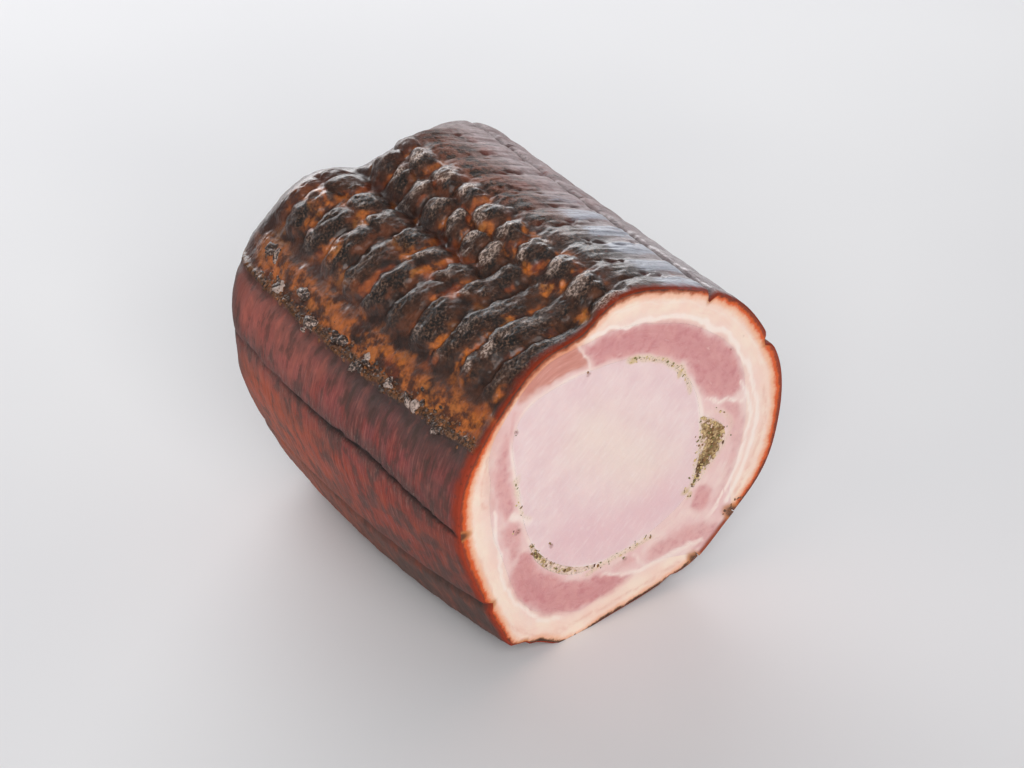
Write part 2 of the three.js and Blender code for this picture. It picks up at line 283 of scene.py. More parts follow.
def on_section(angle, radius):
    """How far a place lies to the right of the roll's axis, and above it."""
    turn = np.radians(angle)
    return radius * np.cos(turn), radius * np.sin(turn)


def place(angle, radius, distance):
    """Point of the roast for an angle, a radius and a distance behind the cut, in millimetres."""
    t = distance / SWELL_SPAN
    belly = 4 * t * (1 - t)
    scale = 1 - TAPER_SHARE * t + SWELL_SHARE * belly
    right, up = on_section(angle, radius * scale)
    x = AXIS_X + right + SAG_X * belly
    z = AXIS_HEIGHT + up + SAG_Z * belly
    return np.stack(np.broadcast_arrays(x, distance - ROAST_LENGTH / 2, np.maximum(z, 0)), -1)


LATTICE = 97
LAYER_SHARE = 0.55
LAYER_SIZE = 0.52
LAYER_SHIFT = (7.3, -3.1)


def patches(x, y, size, seed):
    """Smooth random field from 0 to 1 whose patches are about size across."""
    lattice = np.random.default_rng(seed).random((LATTICE, LATTICE))
    u, v = np.broadcast_arrays(np.asarray(x) / size, np.asarray(y) / size)
    i = np.floor(u).astype(int)
    j = np.floor(v).astype(int)
    s = smooth(u - i, 0, 1)
    t = smooth(v - j, 0, 1)
    low = blend(lattice[i % LATTICE, j % LATTICE], lattice[(i + 1) % LATTICE, j % LATTICE], s)
    j = j + 1
    high = blend(lattice[i % LATTICE, j % LATTICE], lattice[(i + 1) % LATTICE, j % LATTICE], s)
    return blend(low, high, t)


def drift(x, y, size, seed):
    """The same field from -0.5 to 0.5."""
    return patches(x, y, size, seed) - 0.5


def crags(x, y, size, seed, layers=3):
    """Random field from -1 to 1 with finer and finer layers, sharp along its ridges."""
    total = 0
    weight = 0
    for layer in range(layers):
        share = LAYER_SHARE ** layer
        moved = (x + LAYER_SHIFT[0] * layer, y + LAYER_SHIFT[1] * layer)
        field = patches(*moved, size * LAYER_SIZE ** layer, seed + layer)
        total = total + share * (1 - 2 * np.abs(2 * field - 1))
        weight += share
    return total / weight


SKIN_RADIUS = 66
ARC = np.pi / 180 * SKIN_RADIUS


def arc_of(angle):
    """Length round the skin in millimetres, from the sheet's first end."""
    return (along_sheet(angle) - FAT_FROM) * ARC


def crease_depth(angle, distance):
    along = np.clip(distance / ROAST_LENGTH, 0, 1)
    depth = 0
    for start_angle, end_angle, front, back, width, start in CREASES.values():
        off = wrapped(angle - blend(start_angle, end_angle, along))
        begun = smooth(distance, start, start + CREASE_RUN_IN) if start else 1
        depth = depth + begun * blend(front, back, along) * fading(off, width)
    return depth


def crack_depth(angle, distance):
    """The wavering crack along the side, and the shallow dip that it lies in."""
    off = wrapped(angle - side_crack(distance) - 0.9 * drift(distance, 0, 5, 31))
    ragged = 0.55 + 0.6 * patches(distance, angle, 3, 32)
    crack = SIDE_CRACK_DEPTH * ragged * fading(off, SIDE_CRACK_WIDTH)
    dip = SIDE_DIP_DEPTH * fading(off, SIDE_DIP_WIDTH)
    return (crack + dip) * blend(1, SIDE_CRACK_FAR_SHARE, smooth(distance, *SIDE_CRACK_FADE))


def net_phase(angle, distance):
    wave = angle * NET_WANDER_WAVES + distance * NET_WANDER_TWIST
    return (distance - NET_FIRST + NET_WANDER * np.sin(np.radians(wave))) / NET_PITCH


def rib_depth(angle, distance):
    """The net's rounds where they only press smooth ribs into the skin."""
    rounds = net_phase(angle, distance)
    phase = rounds - np.floor(rounds)
    skew = np.log(0.5) / np.log(NET_CREST)
    pillow = np.sin(np.pi * phase ** skew) ** PILLOW_ROUNDNESS
    uneven_wave = angle * NET_UNEVEN_WAVES + np.floor(rounds) * NET_UNEVEN_TURN
    uneven = 1 - NET_UNEVEN + NET_UNEVEN * np.sin(np.radians(uneven_wave))
    return RIB_SHARE * NET_DEPTH * uneven * net_strength(angle) * (1 - pillow)


KNOB_SEED = 11
KNOB_HALF_LENGTH = 6.7
KNOB_OVERLAP = 0.5
KNOB_SKEW = -0.25
KNOB_ROUNDS = range(-1, 11)
KNOB_LIMIT = 1.6
KNOB_OUTSIDE = 2.0
SMALL_KNOB = 14
ROW_TILT = 0.15
ROW_LEVEL_AT = 112
ROW_TILT_BETWEEN = (100, 140)
SHORT_PITCH = 10.6
SHORT_FIRST = 48.4
SHORT_LEAD = 6
SHORT_COUNT = 8
SHORT_HALF_LENGTH = 5.7
SHORT_BETWEEN = (103, 112)
SHORT_EDGES = (92, 112)

# Patches of amber glaze: angle, distance, half angle and half length
AMBER = [
    (147, 7, 6, 9), (134, 20, 6, 2.5), (125, 30, 3, 2), (119, 47, 6, 3), (116, 60, 6, 3),
    (115, 73, 6, 3.5), (132, 74, 9, 3), (138, 87, 6, 3), (139, 99, 7, 5), (119, 98, 4, 4),
    (115, 111, 7, 4), (137, 122, 5, 3), (100, 24, 3, 4), (99, 36, 3, 4), (104, 72, 4, 4),
    (105, 84, 4, 5), (109, 61, 4, 3), (98, 60, 3, 3), (92, 71, 3, 3), (91, 50, 3, 3),
]
AMBER_STRIP = (147.0, 143.0)


def row_middle(turn, angle):
    """Distance of a round's middle, which leans back towards the side."""
    lean = ROW_TILT * (np.clip(angle, *ROW_TILT_BETWEEN) - ROW_LEVEL_AT)
    return NET_FIRST + (turn + 0.5) * NET_PITCH + lean


def grooves_at(distance):
    """Angles of the grooves that part the knobs at a distance, from the side inwards."""
    along = distance / ROAST_LENGTH
    return [blend(front, back, along) for front, back, start in KNOB_GROOVES if distance > start]


def knob_between(draw, high, low, middle, half_length):
    """A knob between two grooves, as knob_list says it."""
    small = high - low < SMALL_KNOB and high < SHORT_BETWEEN[1]
    return (
        (high + low) / 2 + draw.uniform(-0.5, 0.5),
        (high - low) / 2 + KNOB_OVERLAP * draw.uniform(0.3, 1.6),
        middle + draw.uniform(-0.7, 0.7),
        half_length * draw.uniform(0.92, 1.05),
        NET_DEPTH * draw.uniform(0.86, 1.1),
        ROW_TILT + draw.uniform(-0.06, 0.08) if not small else draw.uniform(-0.1, 0.1),
        draw.uniform(0.6, 1) if small else draw.uniform(0.2, 0.95),
        not small,
    )


def knob_list():
    """Every knob: angle, half angle, distance, half length, height, tilt, the strength of the pale ash
    and painted highlight on its crest, and whether that grows towards the side."""
    draw = np.random.default_rng(KNOB_SEED)
    knobs = []
    for turn in KNOB_ROUNDS:
        middle = row_middle(turn, ROW_LEVEL_AT)
        edges = grooves_at(middle)
        for high, low in zip(edges, edges[1:]):
            short = SHORT_BETWEEN[0] < high < SHORT_BETWEEN[1]
            if not short or middle < SHORT_FIRST - SHORT_LEAD:
                at = row_middle(turn, (high + low) / 2)
                knobs.append(knob_between(draw, high, low, at, KNOB_HALF_LENGTH))
    for step in range(SHORT_COUNT):
        middle = SHORT_FIRST + step * SHORT_PITCH
        edges = [angle for angle in grooves_at(middle) if SHORT_EDGES[0] < angle < SHORT_EDGES[1]]
        knobs.append(knob_between(draw, edges[0], edges[1], middle, SHORT_HALF_LENGTH))
    return knobs


def knob_relief(angle, distance):
    """Knobs at each point: height, distance from the nearest knob's middle as a share of its size,
    place from its front to its back, and how strong the pale ash and painted highlight on its crest is."""
    arc = arc_of(angle)
    bent_angle = angle + 2.4 * drift(arc, distance, 6, 41) + 1.7 * drift(arc, distance, 2.4, 42)
    bent = distance + 2.2 * drift(arc, distance, 6, 43) + 1.8 * drift(arc, distance, 2.4, 44)
    height = np.zeros(bent.shape)
    reach = np.full(bent.shape, KNOB_OUTSIDE)
    back = np.zeros(bent.shape)
    pale = np.zeros(bent.shape)
    for middle, half, at, half_length, tall, tilt, crest_ash_and_highlight, towards_side in knob_list():
        u = (bent_angle - middle) / half
        v = (bent - at - tilt * (bent_angle - middle)) / half_length
        near = (np.abs(u) < KNOB_LIMIT) & (np.abs(v) < KNOB_LIMIT)
        v = np.clip(v, -KNOB_LIMIT, KNOB_LIMIT)
        skewed = (v + KNOB_SKEW) / (1 + KNOB_SKEW * v)
        out = np.where(near, (np.abs(u) ** 2.6 + np.abs(skewed) ** 2.3) ** 0.41, KNOB_OUTSIDE)
        height = np.maximum(height, tall * np.clip(1 - out ** 2.2, 0, 1) ** 0.7)
        nearer = out < reach
        reach = np.where(nearer, out, reach)
        back = np.where(nearer, skewed, back)
        crest = 0.4 + 0.6 * smooth(u, -0.2, 0.6) if towards_side else 1
        pale = np.where(nearer, crest_ash_and_highlight * crest, pale)
    return height, reach, back, pale


def ovals(angle, distance, places, falloff):
    """1 in the middle of each oval, fading out past its half angle and half length."""
    share = np.zeros(distance.shape)
    for middle, at, half, half_length in places:
        reach = ((angle - middle) / half) ** 2 + ((distance - at) / half_length) ** 2
        share = np.maximum(share, np.exp(-falloff * reach ** 1.5))
    return share


def amber_share(angle, distance):
    """How much glaze lies at each point of the crust, in patches and in the strip beside the border."""
    arc = arc_of(angle)
    bent_angle = angle + 3.4 * drift(arc, distance, 4, 85)
    bent = distance + 3.6 * drift(arc, distance, 4, 86)
    strip_middle = blend(*AMBER_STRIP, smooth(distance, *STRIP_SHIFTS))
    strip = 1 - smooth(np.abs(bent_angle - strip_middle), *STRIP_EDGE)
    strip = strip * smooth(patches(arc, distance, 7.5, 83), 0.25, 0.55)
    return ovals(bent_angle, bent, AMBER, 0.7), strip


# Small torn dents in each valley of the rounds, most of them just above the knobs: how many, between
# which angles, how far off the valley, and their half lengths
PITS = [(4, (68, 87), 3.2, (0.5, 1.2)), (2, (24, 70), 2, (0.4, 0.9))]
PIT_SEED = 5
PIT_ROUNDS = 9


def pit(draw, angles, valley, spread, half_lengths):
    """One dent: angle, distance, half angle and half length."""
    middle = draw.uniform(*angles)
    half = draw.uniform(0.8, 2.4)
    at = valley + draw.uniform(-spread, spread)
    return middle, at, half, draw.uniform(*half_lengths)


def pit_list():
    draw = np.random.default_rng(PIT_SEED)
    pits = []
    for turn in range(PIT_ROUNDS):
        valley = NET_FIRST + turn * NET_PITCH
        for count, angles, spread, half_lengths in PITS:
            pits += [pit(draw, angles, valley, spread, half_lengths) for _ in range(count)]
    return pits


def pit_share(angle, distance):
    """How deep the dents are at each point."""
    arc = arc_of(angle)
    bent = distance + 1.6 * drift(arc, distance, 2.5, 51)
    return ovals(angle, bent, pit_list(), 1.4) * smooth(patches(arc, distance, 1.3, 53), 0.15, 0.6)


def end_at(angle, radius):
    """Distance of the browned end, before its corner is rounded."""
    share = smooth(radius / outline(angle), END_FLAT_SHARE, 1)
    return ROAST_LENGTH - blend(END_CENTRE_SHORT, end_short(angle), share)


def end_turn(inset):
    return np.arccos(np.clip(1 - inset / END_ROUNDING, 0, 1))


def end_distance(angle, inset):
    """Distance of the end's profile at an inset from the outside."""
    return end_at(angle, outline(angle) - inset) - END_ROUNDING * (1 - np.sin(end_turn(inset)))


def inset_to_length(inset):
    return END_ROUNDING * end_turn(inset) + np.maximum(0, inset - END_ROUNDING)


def length_to_inset(length):
    corner = END_ROUNDING * np.pi / 2
    rounded = END_ROUNDING * (1 - np.cos(np.clip(length, 0, corner) / END_ROUNDING))
    return rounded + np.maximum(0, length - corner)


def end_profile(angle, outer, inner, rows):
    """Radius and distance on the browned end from one radius in to another, crowned between them."""
    reach = outline(angle)
    share = np.linspace(0, 1, rows + 1)
    length = blend(inset_to_length(reach - outer), inset_to_length(reach - inner), share)
    inset = length_to_inset(length)
    crown = LAYER_CROWN * np.minimum(1, (outer - inner) / FULL_CROWN_WIDTH) * np.sin(np.pi * share)
    return reach - inset, end_distance(angle, inset) + crown


def wall(angle, radius, rows):
    """Radius and distance along a layer's straight wall, from the cut to the browned end."""
    far = end_distance(angle, outline(angle) - radius)
    share = np.linspace(0, 1, rows + 1)
    return radius + 0 * share, far * share


def across_cut(inner, outer, rows):
    """Radius and distance across the cut face, from inside out, without both edges."""
    share = np.linspace(0, 1, rows + 1)[1:-1]
    return blend(inner, outer, share), 0 * (inner + share)


def columns():
    """Angles of the mesh's columns, on from the sheet's first end."""
    angles = [
        angle
        for start, end, step in COLUMN_ZONES
        for angle in np.arange(start, end - step / 2, step)
    ]
    ends = [FAT_FROM, FAT_TO, HERB_POCKET[0][0], HERB_POCKET[-1][0], HERB_SEAM[0][0], HERB_SEAM[-1][0]]
    for index, end in enumerate(ends):
        outwards = -STEP_ANGLE if index % 2 == 0 else STEP_ANGLE
        for steps in CLOSE_STEPS:
            wanted = along_sheet(end + steps * outwards)
            angles = [angle for angle in angles if abs(wrapped(angle - wanted)) > STEP_ANGLE * 0.6]
            angles.append(wanted)
    return np.array(sorted(angles))


COLUMNS = columns()


def columns_between(start, end):
    span = (end - start) % 360
    turns = np.sort((COLUMNS - start) % 360)
    return start + turns[turns <= span + 1e-6]


def skin_lengths(total):
    """Lengths of the skin's rows from the cut, along the roll and over the end."""
    straight = np.arange(RIM_ROWS[-1] + SKIN_STEP, SKIN_STRAIGHT, SKIN_STEP)
    front = np.concatenate([RIM_ROWS, straight])
    share = np.linspace(0, 1, SKIN_END_ROWS + 1)[1:]
    rest = blend(front[-1], total, share)
    return np.concatenate([np.broadcast_to(front, (len(total), len(front))), rest], 1)


def glaze_share(angle, distance, out, top):
    """Glaze in the hollows of the crust, and its strip beside the border."""
    arc = arc_of(angle)
    patched, strip = amber_share(angle, distance)
    hollow = 0.75 * smooth(patches(arc, distance, 6, 87), 0.35, 0.75)
    bled = smooth(patches(arc, distance, 8, 90), 0.5, 0.75)
    bled = bled * smooth(distance, *BLED_ALONG) * smooth(angle, *BLED_GLAZE)
    glaze = np.maximum(smooth(out, 0.66, 1.05) * hollow, patched * (1 - 0.85 * top))
    glaze = np.maximum(glaze, 0.8 * strip * (1 - 0.4 * top))
    return np.maximum(glaze, 0.6 * bled), strip


def knob_zone(angle, distance, grit, fine, lumps):
    """Relief of the charred top, and its marks."""
    arc = arc_of(angle)
    tall, reach, back, crest_ash_and_highlight = knob_relief(angle, distance)
    out = reach + 0.45 * drift(arc, distance, 3.4, 84) - 0.14 * back
    out = out + 0.35 * drift(arc, distance, 1.7, 82)
    top = 1 - smooth(reach, 0.6, 1.0)
    crest = between(back, -0.55, 0.0, 0.4, 0.8)
    crest = crest * smooth(patches(arc, distance, 3, 88), 0.25, 0.55)
    rough = top * (0.4 * grit + 0.3 * fine) + (1 - top) * (0.5 * lumps + 0.25 * fine)
    glaze, strip = glaze_share(angle, distance, out, top)
    return KNOB_SHARE * (tall - NET_DEPTH * net_strength(angle)) + rough, {
        "between": smooth(out, 0.6, 1.0),
        "glaze": glaze,
        "strip": strip,
        # Pale ash and painted highlight on the crest towards each knob's back.
        "pale": crest_ash_and_highlight * top * crest * (1 - smooth(distance, *CREST_ASH_AND_HIGHLIGHT_END)),
    }


def crust_ridge(angle, distance):
    """The wandering ridge of crust along the border."""
    wander = angle - BORDER - RIDGE_WANDER * drift(distance, 0, 6, 80)
    ragged = np.clip(0.4 + crags(arc_of(angle), distance, 2.4, 81), 0, 1.2)
    return fading(wander, RIDGE_WIDTH) * (0.3 + 0.7 * ragged)


def rib_gleam(angle, distance, net):
    """Crests of the ribs near the cut, where a bluish highlight is painted."""
    crest = 1 - net / (RIB_SHARE * NET_DEPTH * net_strength(angle))
    return smooth(crest, 0.4, 0.9) * (1 - smooth(distance, *GLEAM_ENDS)) * between(angle, *GLEAM)


def skin_marks(angle, distance):
    """Height of the skin's relief, and the shares of char, glaze, pale ash with painted highlight, and
    the crack's painted shade.
    """
    arc = arc_of(angle)
    knobs = between(angle, *KNOB_ZONE)
    side = smooth(angle, *SIDE_ZONE)
    ribs = 1 - knobs - side
    grit = crags(arc * 0.55, distance, 2.2, 61)
    fine = crags(arc * 0.6, distance, 1.25, 65, 2)
    lumps = drift(arc, distance, 4.5, 68)
    streaks = crags(arc * 0.07, distance, 1.9, 71, 2)
    wrinkles = crags(arc * 0.1 + 0.2 * distance, distance, 2.8, 75, 2)
    charred = smooth(angle, *CHARRED_RIBS)
    right = 1 - smooth(angle + 10 * drift(arc, distance, 9, 89), *RIGHT_SIDE)
    net = rib_depth(angle, distance)
    pits = pit_share(angle, distance)
    ridge = crust_ridge(angle, distance)
    crack = crack_depth(angle, distance)
    creases = crease_depth(angle, distance)
    knob_height, knob_marks = knob_zone(angle, distance, grit, fine, lumps)

    height = knobs * knob_height + ridge
    height = height - ribs * (net + 1.1 * pits)
    height = height + ribs * (0.26 * wrinkles + charred * (0.3 * grit + 0.16 * fine))
    height = height - side * net + side * (0.13 * streaks + 0.25 * lumps)
    height = height - creases - crack

    from_ash = wrapped(angle - side_crack(distance) - ASH_OFF_CRACK)
    marks = {name: values * knobs for name, values in knob_marks.items()}
    marks |= {
        "knobs": knobs,
        "charred": charred * ribs,
        "pits": pits * ribs,
        "gleam": rib_gleam(angle, distance, net) * ribs,
        "crack": np.clip(1.3 * crack / SIDE_CRACK_DEPTH - 0.3, 0, 1),
        "crack_side": fading(from_ash, ASH_WIDTH) * smooth(distance, *ASH_BEGINS),
        "creased": np.clip(creases / 2.2, 0, 1),
        "side": side + ribs * right,
        "ribs": ribs * (1 - right),
        "crust_line": ridge,
    }
    return height, marks


def skin_surface(angle, inner):
    """Radius and distance of the sheet's skin, and its marks, for columns of angles."""
    reach = outline(angle)
    straight = end_distance(angle, 0 * angle)
    total = straight + inset_to_length(reach - inner)
    length = skin_lengths(total)
    past = length - straight
    inset = length_to_inset(np.maximum(past, 0))
    turn = end_turn(inset) * (past > 0)
    radius = reach - inset
    distance = np.where(past > 0, end_distance(angle, inset), length)
    height, marks = skin_marks(angle + 0 * length, length)
    faded = smooth(length, 0, RELIEF_FADE)
    at_cut = -crease_depth(angle, 0)
    height = blend(at_cut, height, faded) * (1 - smooth(length, total - EDGE_FADE, total))
    rim = np.clip(RIM_ROUNDING - length, 0, None)
    height = height - (RIM_ROUNDING - np.sqrt(RIM_ROUNDING ** 2 - rim ** 2))
    least = inner + THINNEST_SKIN * (1 - smooth(length, total - EDGE_FADE, total))
    marks["over_end"] = smooth(past, *OVER_END)
    return np.maximum(radius + height * np.cos(turn), least), distance + height * np.sin(turn), marks


def fat_inner(angle):
    return outline(angle) - fat_thickness(along_sheet(angle))


def lean_outer(angle):
    """Outside of the lean: under the fat, or at the surface where the sheet's ends meet."""
    along = along_sheet(angle)
    past_last = along - FAT_TO
    before_first = FAT_FROM + 360 - along
    under = outline(angle) - fat_thickness(np.where(before_first < past_last, FAT_FROM, along)) - CLOSE_GAP
    bare = outline(angle) - crease_depth(angle, 0)
    return np.where(np.minimum(past_last, before_first) > 1.5 * STEP_ANGLE, bare, under)


def layer_edge(radius, outer, inner):
    """1 where a layer meets its neighbours on the browned end, fading out over a few millimetres."""
    return fading(np.minimum(outer - radius, radius - inner), 1.7)


def end_relief(angle, radius, edge):
    """Craggy rise of the meat's browned end."""
    x, z = on_section(angle, radius)
    return (0.55 * crags(x, z, 7, 121) + 0.2 * crags(x, z, 2.6, 124, 2)) * (1 - edge)


def herb_thickness(stations, angle):
    inside = wrapped(angle)
    reached = (inside > stations[0][0] - 2 * STEP_ANGLE) & (inside < stations[-1][0] + 2 * STEP_ANGLE)
    return np.where(reached, curve_through(stations)(inside) + GAP, 0)


def lean_inner(angle):
    """Inside of the lean: round the loin and over the herbs."""
    over = np.maximum(herb_thickness(HERB_POCKET, angle), herb_thickness(HERB_SEAM, angle))
    return loin_radius(angle) + GAP / 2 + CLOSE_GAP + over


# Colour marks of the cut face

def smooth_line(points, closed=False):
    """Points close together along a smooth line through the given ones."""
    loop = list(points) + ([points[0]] if closed else [])
    steps = np.linspace(0, len(loop) - 1, LINE_STEPS * (len(loop) - 1) + 1)
    return np.stack([curve_through([(i, p[k]) for i, p in enumerate(loop)])(steps) for k in (0, 1)], 1)


def distance_to(x, z, line):
    """Distance of each place to a line of points."""
    nearest = np.full(x.shape, np.inf)
    for (x0, z0), (x1, z1) in zip(line, line[1:]):
        run = (x1 - x0) ** 2 + (z1 - z0) ** 2 + 1e-9
        t = np.clip(((x - x0) * (x1 - x0) + (z - z0) * (z1 - z0)) / run, 0, 1)
        nearest = np.minimum(nearest, np.hypot(x - x0 - t * (x1 - x0), z - z0 - t * (z1 - z0)))
    return nearest


def stroke(x, z, points, width):
    """1 on a smooth line, fading out over its width."""
    return fading(distance_to(x, z, smooth_line(points)), width)


def patch(x, z, points, soft):
    """1 inside a smooth outline and 0 outside it, with a soft edge."""
    line = smooth_line(points, closed=True)
    inside = np.zeros(x.shape, bool)
    for (x0, z0), (x1, z1) in zip(line, line[1:]):
        crosses = (z0 > z) != (z1 > z)
        inside ^= crosses & (x < x0 + (x1 - x0) * (z - z0) / (z1 - z0 + 1e-12))
    away = distance_to(x, z, line)
    return smooth(np.where(inside, away, -away), -soft, soft)


def spots(x, z, places, size):
    return np.max([np.exp(-((x - px) ** 2 + (z - pz) ** 2) / size ** 2) for px, pz in places], 0)


# Marks on the cut face, as places in millimetres to the right of the roll's axis and above it
DEEP_TOP = [
    (-18.5, 53), (-2, 52.5), (10, 49.5), (25, 42.5), (35, 35.5), (43, 27), (48.5, 15), (50.5, 8),
    (46, 5.5), (38, 7.5), (31, 16), (27, 25), (19, 33), (5, 39.5), (-10, 43), (-15, 46),
]
SALMON_TOP = [(-44, 44), (-38, 52), (-28, 57), (-20, 55), (-15.5, 46.5), (-25, 46), (-35, 45)]
DEEP_BOTTOM = [
    (-44, -18), (-39, -20), (-34, -29), (-27, -36.5), (-19, -42), (-10, -44), (0, -47.5), (3, -50),
    (-5, -53), (-15, -54), (-25, -52), (-35, -46), (-42, -38), (-46, -28),
]
BOTTOM_PINK = [
    (10, -43), (15, -41.5), (25, -40.5), (35, -43), (44, -48), (42, -54), (34, -55), (26, -50.5),
    (12, -48.5),
]
LEFT_DEEP = [(-52.5, 26), (-49, 33), (-46.5, 20), (-45.5, 6), (-46, 1), (-50, -1), (-52.5, 8)]
LEFT_PINK = [(-51, -4), (-46, -3), (-43, -10), (-43, -18), (-47, -19), (-50, -12)]
RIGHT_PINK = [
    (43, 2), (48, 3), (52, -5), (52, -16), (49, -26), (44, -36), (40, -41), (38, -39), (42, -30),
    (45, -20), (44, -9),
]
RIGHT_TOP = [(41, 3.5), (46, 3), (49.5, 0), (49, -5), (45, -4)]
RIGHT_SMALL = [(31, -28), (35, -27.5), (38, -31), (36.5, -37), (32, -37.5), (30, -33)]
BOTTOM_SMALL = [(-8, -42), (2, -40.5), (6, -43), (3, -46), (-5, -45)]
LEFT_STREAK = [(-45.5, 40), (-47.3, 30), (-48.5, 18)]
LEFT_BAND = [(-52, 34), (-54, 20), (-54.5, 6)]
DEEPER_TOP = [(-10, 49.5), (6, 46.5), (19, 41), (29, 33), (37, 23), (43, 14)]
DEEPER_BOTTOM = [(-42, -26), (-36, -38), (-27, -46), (-16, -50), (-5, -50.5)]

TOP_SEAM = [
    (-27, 57.5), (-12, 55.5), (5, 52.5), (20, 48), (33, 40.5), (43, 31), (50, 19), (55, 8),
    (57, -4), (56, -16), (52, -28), (45, -39),
]
RIGHT_SEAM = [(50, 9), (53.5, 0), (53.5, -12), (50.5, -24), (44, -35), (37, -42)]
LEFT_SEAM = [(-54, 4), (-53, -8), (-50, -24), (-45, -37), (-36, -48), (-26, -54)]
DIAGONAL_SEAM = [(-21, 57), (-18, 50), (-15.5, 44)]
BOTTOM_SEAM = [(-9, -44.5), (5, -49), (20, -50), (34, -51)]
BOTTOM_BREAK = [(4, -41), (7, -45), (9, -50)]
RIGHT_BREAK = [(34, 9), (40, 5), (46, 3.5), (52, 1)]
FAT_LINE = [(-20, 60), (-4, 60.5), (14, 56.5), (30, 48.5), (43, 38), (52, 25), (58.5, 12)]
LEFT_BLOB = [(-47, -1), (-43.5, -3), (-40.5, -7)]
LOW_VEIN = [
    (-59, -12), (-56, -28), (-49, -43), (-38, -55), (-24, -59), (-8, -58.5), (10, -57), (24, -54.5),
]
LEFT_VEIN = [(-58, 8), (-57, 22), (-51, 38)]
RIGHT_VEIN = [(60, 2), (60, -12), (56, -26), (49, -37)]

HERB_ARC = [(2, 39), (11, 35.8), (19, 30.5), (25, 23), (27.5, 15)]
HERB_LEFT = [(-45, 14), (-44, 6), (-42.5, -1), (-40, -6)]
HERB_BOTTOM = [(-14, -41), (-5, -39), (4, -38.5), (12, -38)]
HERB_SIDE = [(38.5, 2), (43, -2), (45, -7), (43.5, -13), (38.5, -19), (32.5, -24)]
HERB_INSIDE = [(32, 1), (32, -6), (31.5, -13), (29.5, -20), (27, -26)]
BROWN_SPOTS = [(-45, -8), (0.7, -41.8), (-16, 42.5), (-31, -20.3), (-45, 32)]
YELLOW_SPOTS = [(28, -28.5), (26, -26), (3.5, 38.3), (22, 25)]
RED_SPOTS = [(48.5, 28.5), (44, 24)]

CREAM_CAST = [(-14, 16), (-2, 4), (12, -12)]
PINKER_CAST = [(-22, -22), (-4, -28), (16, -24)]

# The same with the softness of each patch or the width of each line, and its share
LEAN_PATCHES = [
    (DEEP_TOP, 3.6, 1), (DEEP_BOTTOM, 3.6, 1), (LEFT_DEEP, 2.4, 0.62), (LEFT_PINK, 2.6, 0.6),
    (RIGHT_PINK, 3, 0.42), (RIGHT_TOP, 2, 0.6), (RIGHT_SMALL, 2.4, 0.72), (BOTTOM_PINK, 3, 0.58),
    (BOTTOM_SMALL, 2.2, 0.4),
]
LEAN_STREAKS = [(LEFT_STREAK, 1.4, 0.4)]
DEEPER_STREAKS = [(DEEPER_TOP, 5, 1), (DEEPER_BOTTOM, 4, 1)]
SEAMS = [
    (TOP_SEAM, 1.1, 1), (RIGHT_SEAM, 1.0, 0.95), (LEFT_SEAM, 1.1, 0.8), (DIAGONAL_SEAM, 0.8, 0.6),
    (BOTTOM_SEAM, 1.5, 0.75), (BOTTOM_BREAK, 1.2, 0.6), (RIGHT_BREAK, 1.1, 0.75),
    (FAT_LINE, 0.8, 0.5), (LEFT_BLOB, 2.2, 0.7),
]
VEINS = [(LOW_VEIN, 0.8, 1), (LEFT_VEIN, 0.8, 1), (RIGHT_VEIN, 0.8, 1)]
HERB_LINES = [
    (HERB_ARC, 1.5, 1), (HERB_LEFT, 1.3, 0.6), (HERB_BOTTOM, 1.4, 0.8), (HERB_SIDE, 1.8, 0.5),
    (HERB_INSIDE, 1.6, 0.8),
]

# Burnt notches in the edge of the cut: angle, half angle, and how deep they reach
NOTCHES = [
    (54.5, 1.7, 4.5), (18.6, 1.8, 4), (-43.5, 2.6, 6), (-61.5, 2.2, 5), (-126.6, 1.8, 3.5),
    (-148.5, 1.8, 4), (179.5, 1.8, 4.5),
]


def strongest(shape, x, z, listed):
    """The strongest of several patches or lines at each place."""
    return np.max([share * shape(x, z, points, width) for points, width, share in listed], 0)


def cut_marks(angle, radius):
    """Shares of the cut face's colours at each place: lean, seams, herbs and burnt notches."""
    right, up = on_section(angle, radius)
    x = right + 2.4 * drift(right, up, 7, 101) + 1.2 * drift(right, up, 2.4, 102)
    z = up + 2.4 * drift(right, up, 7, 103) + 1.2 * drift(right, up, 2.4, 104)
    deep = np.maximum(strongest(patch, x, z, LEAN_PATCHES), strongest(stroke, x, z, LEAN_STREAKS))
    salmon = np.maximum(patch(x, z, SALMON_TOP, 2.6), 0.35 * stroke(x, z, LEFT_BAND, 3.4))
    fringe = fading(radius - loin_radius(angle) - 0.7, 1.5)
    fringe = fringe * (0.2 + 0.65 * patches(right, up, 8, 105))
    depth = outline(angle) - radius
    return {
        "deep": deep,
        "deeper": deep * strongest(stroke, x, z, DEEPER_STREAKS),
        "salmon": salmon * (1 - deep),
        "cream": stroke(right, up, CREAM_CAST, 13),
        "pinker": stroke(right, up, PINKER_CAST, 11),
        "vein": strongest(stroke, x, z, VEINS),
        "seam": np.maximum(strongest(stroke, x, z, SEAMS), fringe),
        "herbs": strongest(stroke, x, z, HERB_LINES),
        "brown": np.maximum(spots(x, z, BROWN_SPOTS, 1.1), 0.7 * spots(x, z, RED_SPOTS, 0.7)),
        "yellow": spots(x, z, YELLOW_SPOTS, 1.6),
        "burnt": np.max([
            np.exp(-(wrapped(angle - at) / half) ** 2 - (depth / reach) ** 2)
            for at, half, reach in NOTCHES
        ], 0),
    }


# Mesh pieces

def combined(*parts):
    """Rows of several (radius, distance) runs, one after the other."""
    count = max(radius.shape[0] for radius, _ in parts)
    radius = np.concatenate([np.broadcast_to(r, (count, r.shape[-1])) for r, _ in parts], 1)
    distance = np.concatenate([np.broadcast_to(d, (count, d.shape[-1])) for _, d in parts], 1)
    return radius, distance


def reversed_rows(run):
    return run[0][:, ::-1], run[1][:, ::-1]


def inner_rows(run):
    """The run without its first and last row."""
    return run[0][:, 1:-1], run[1][:, 1:-1]


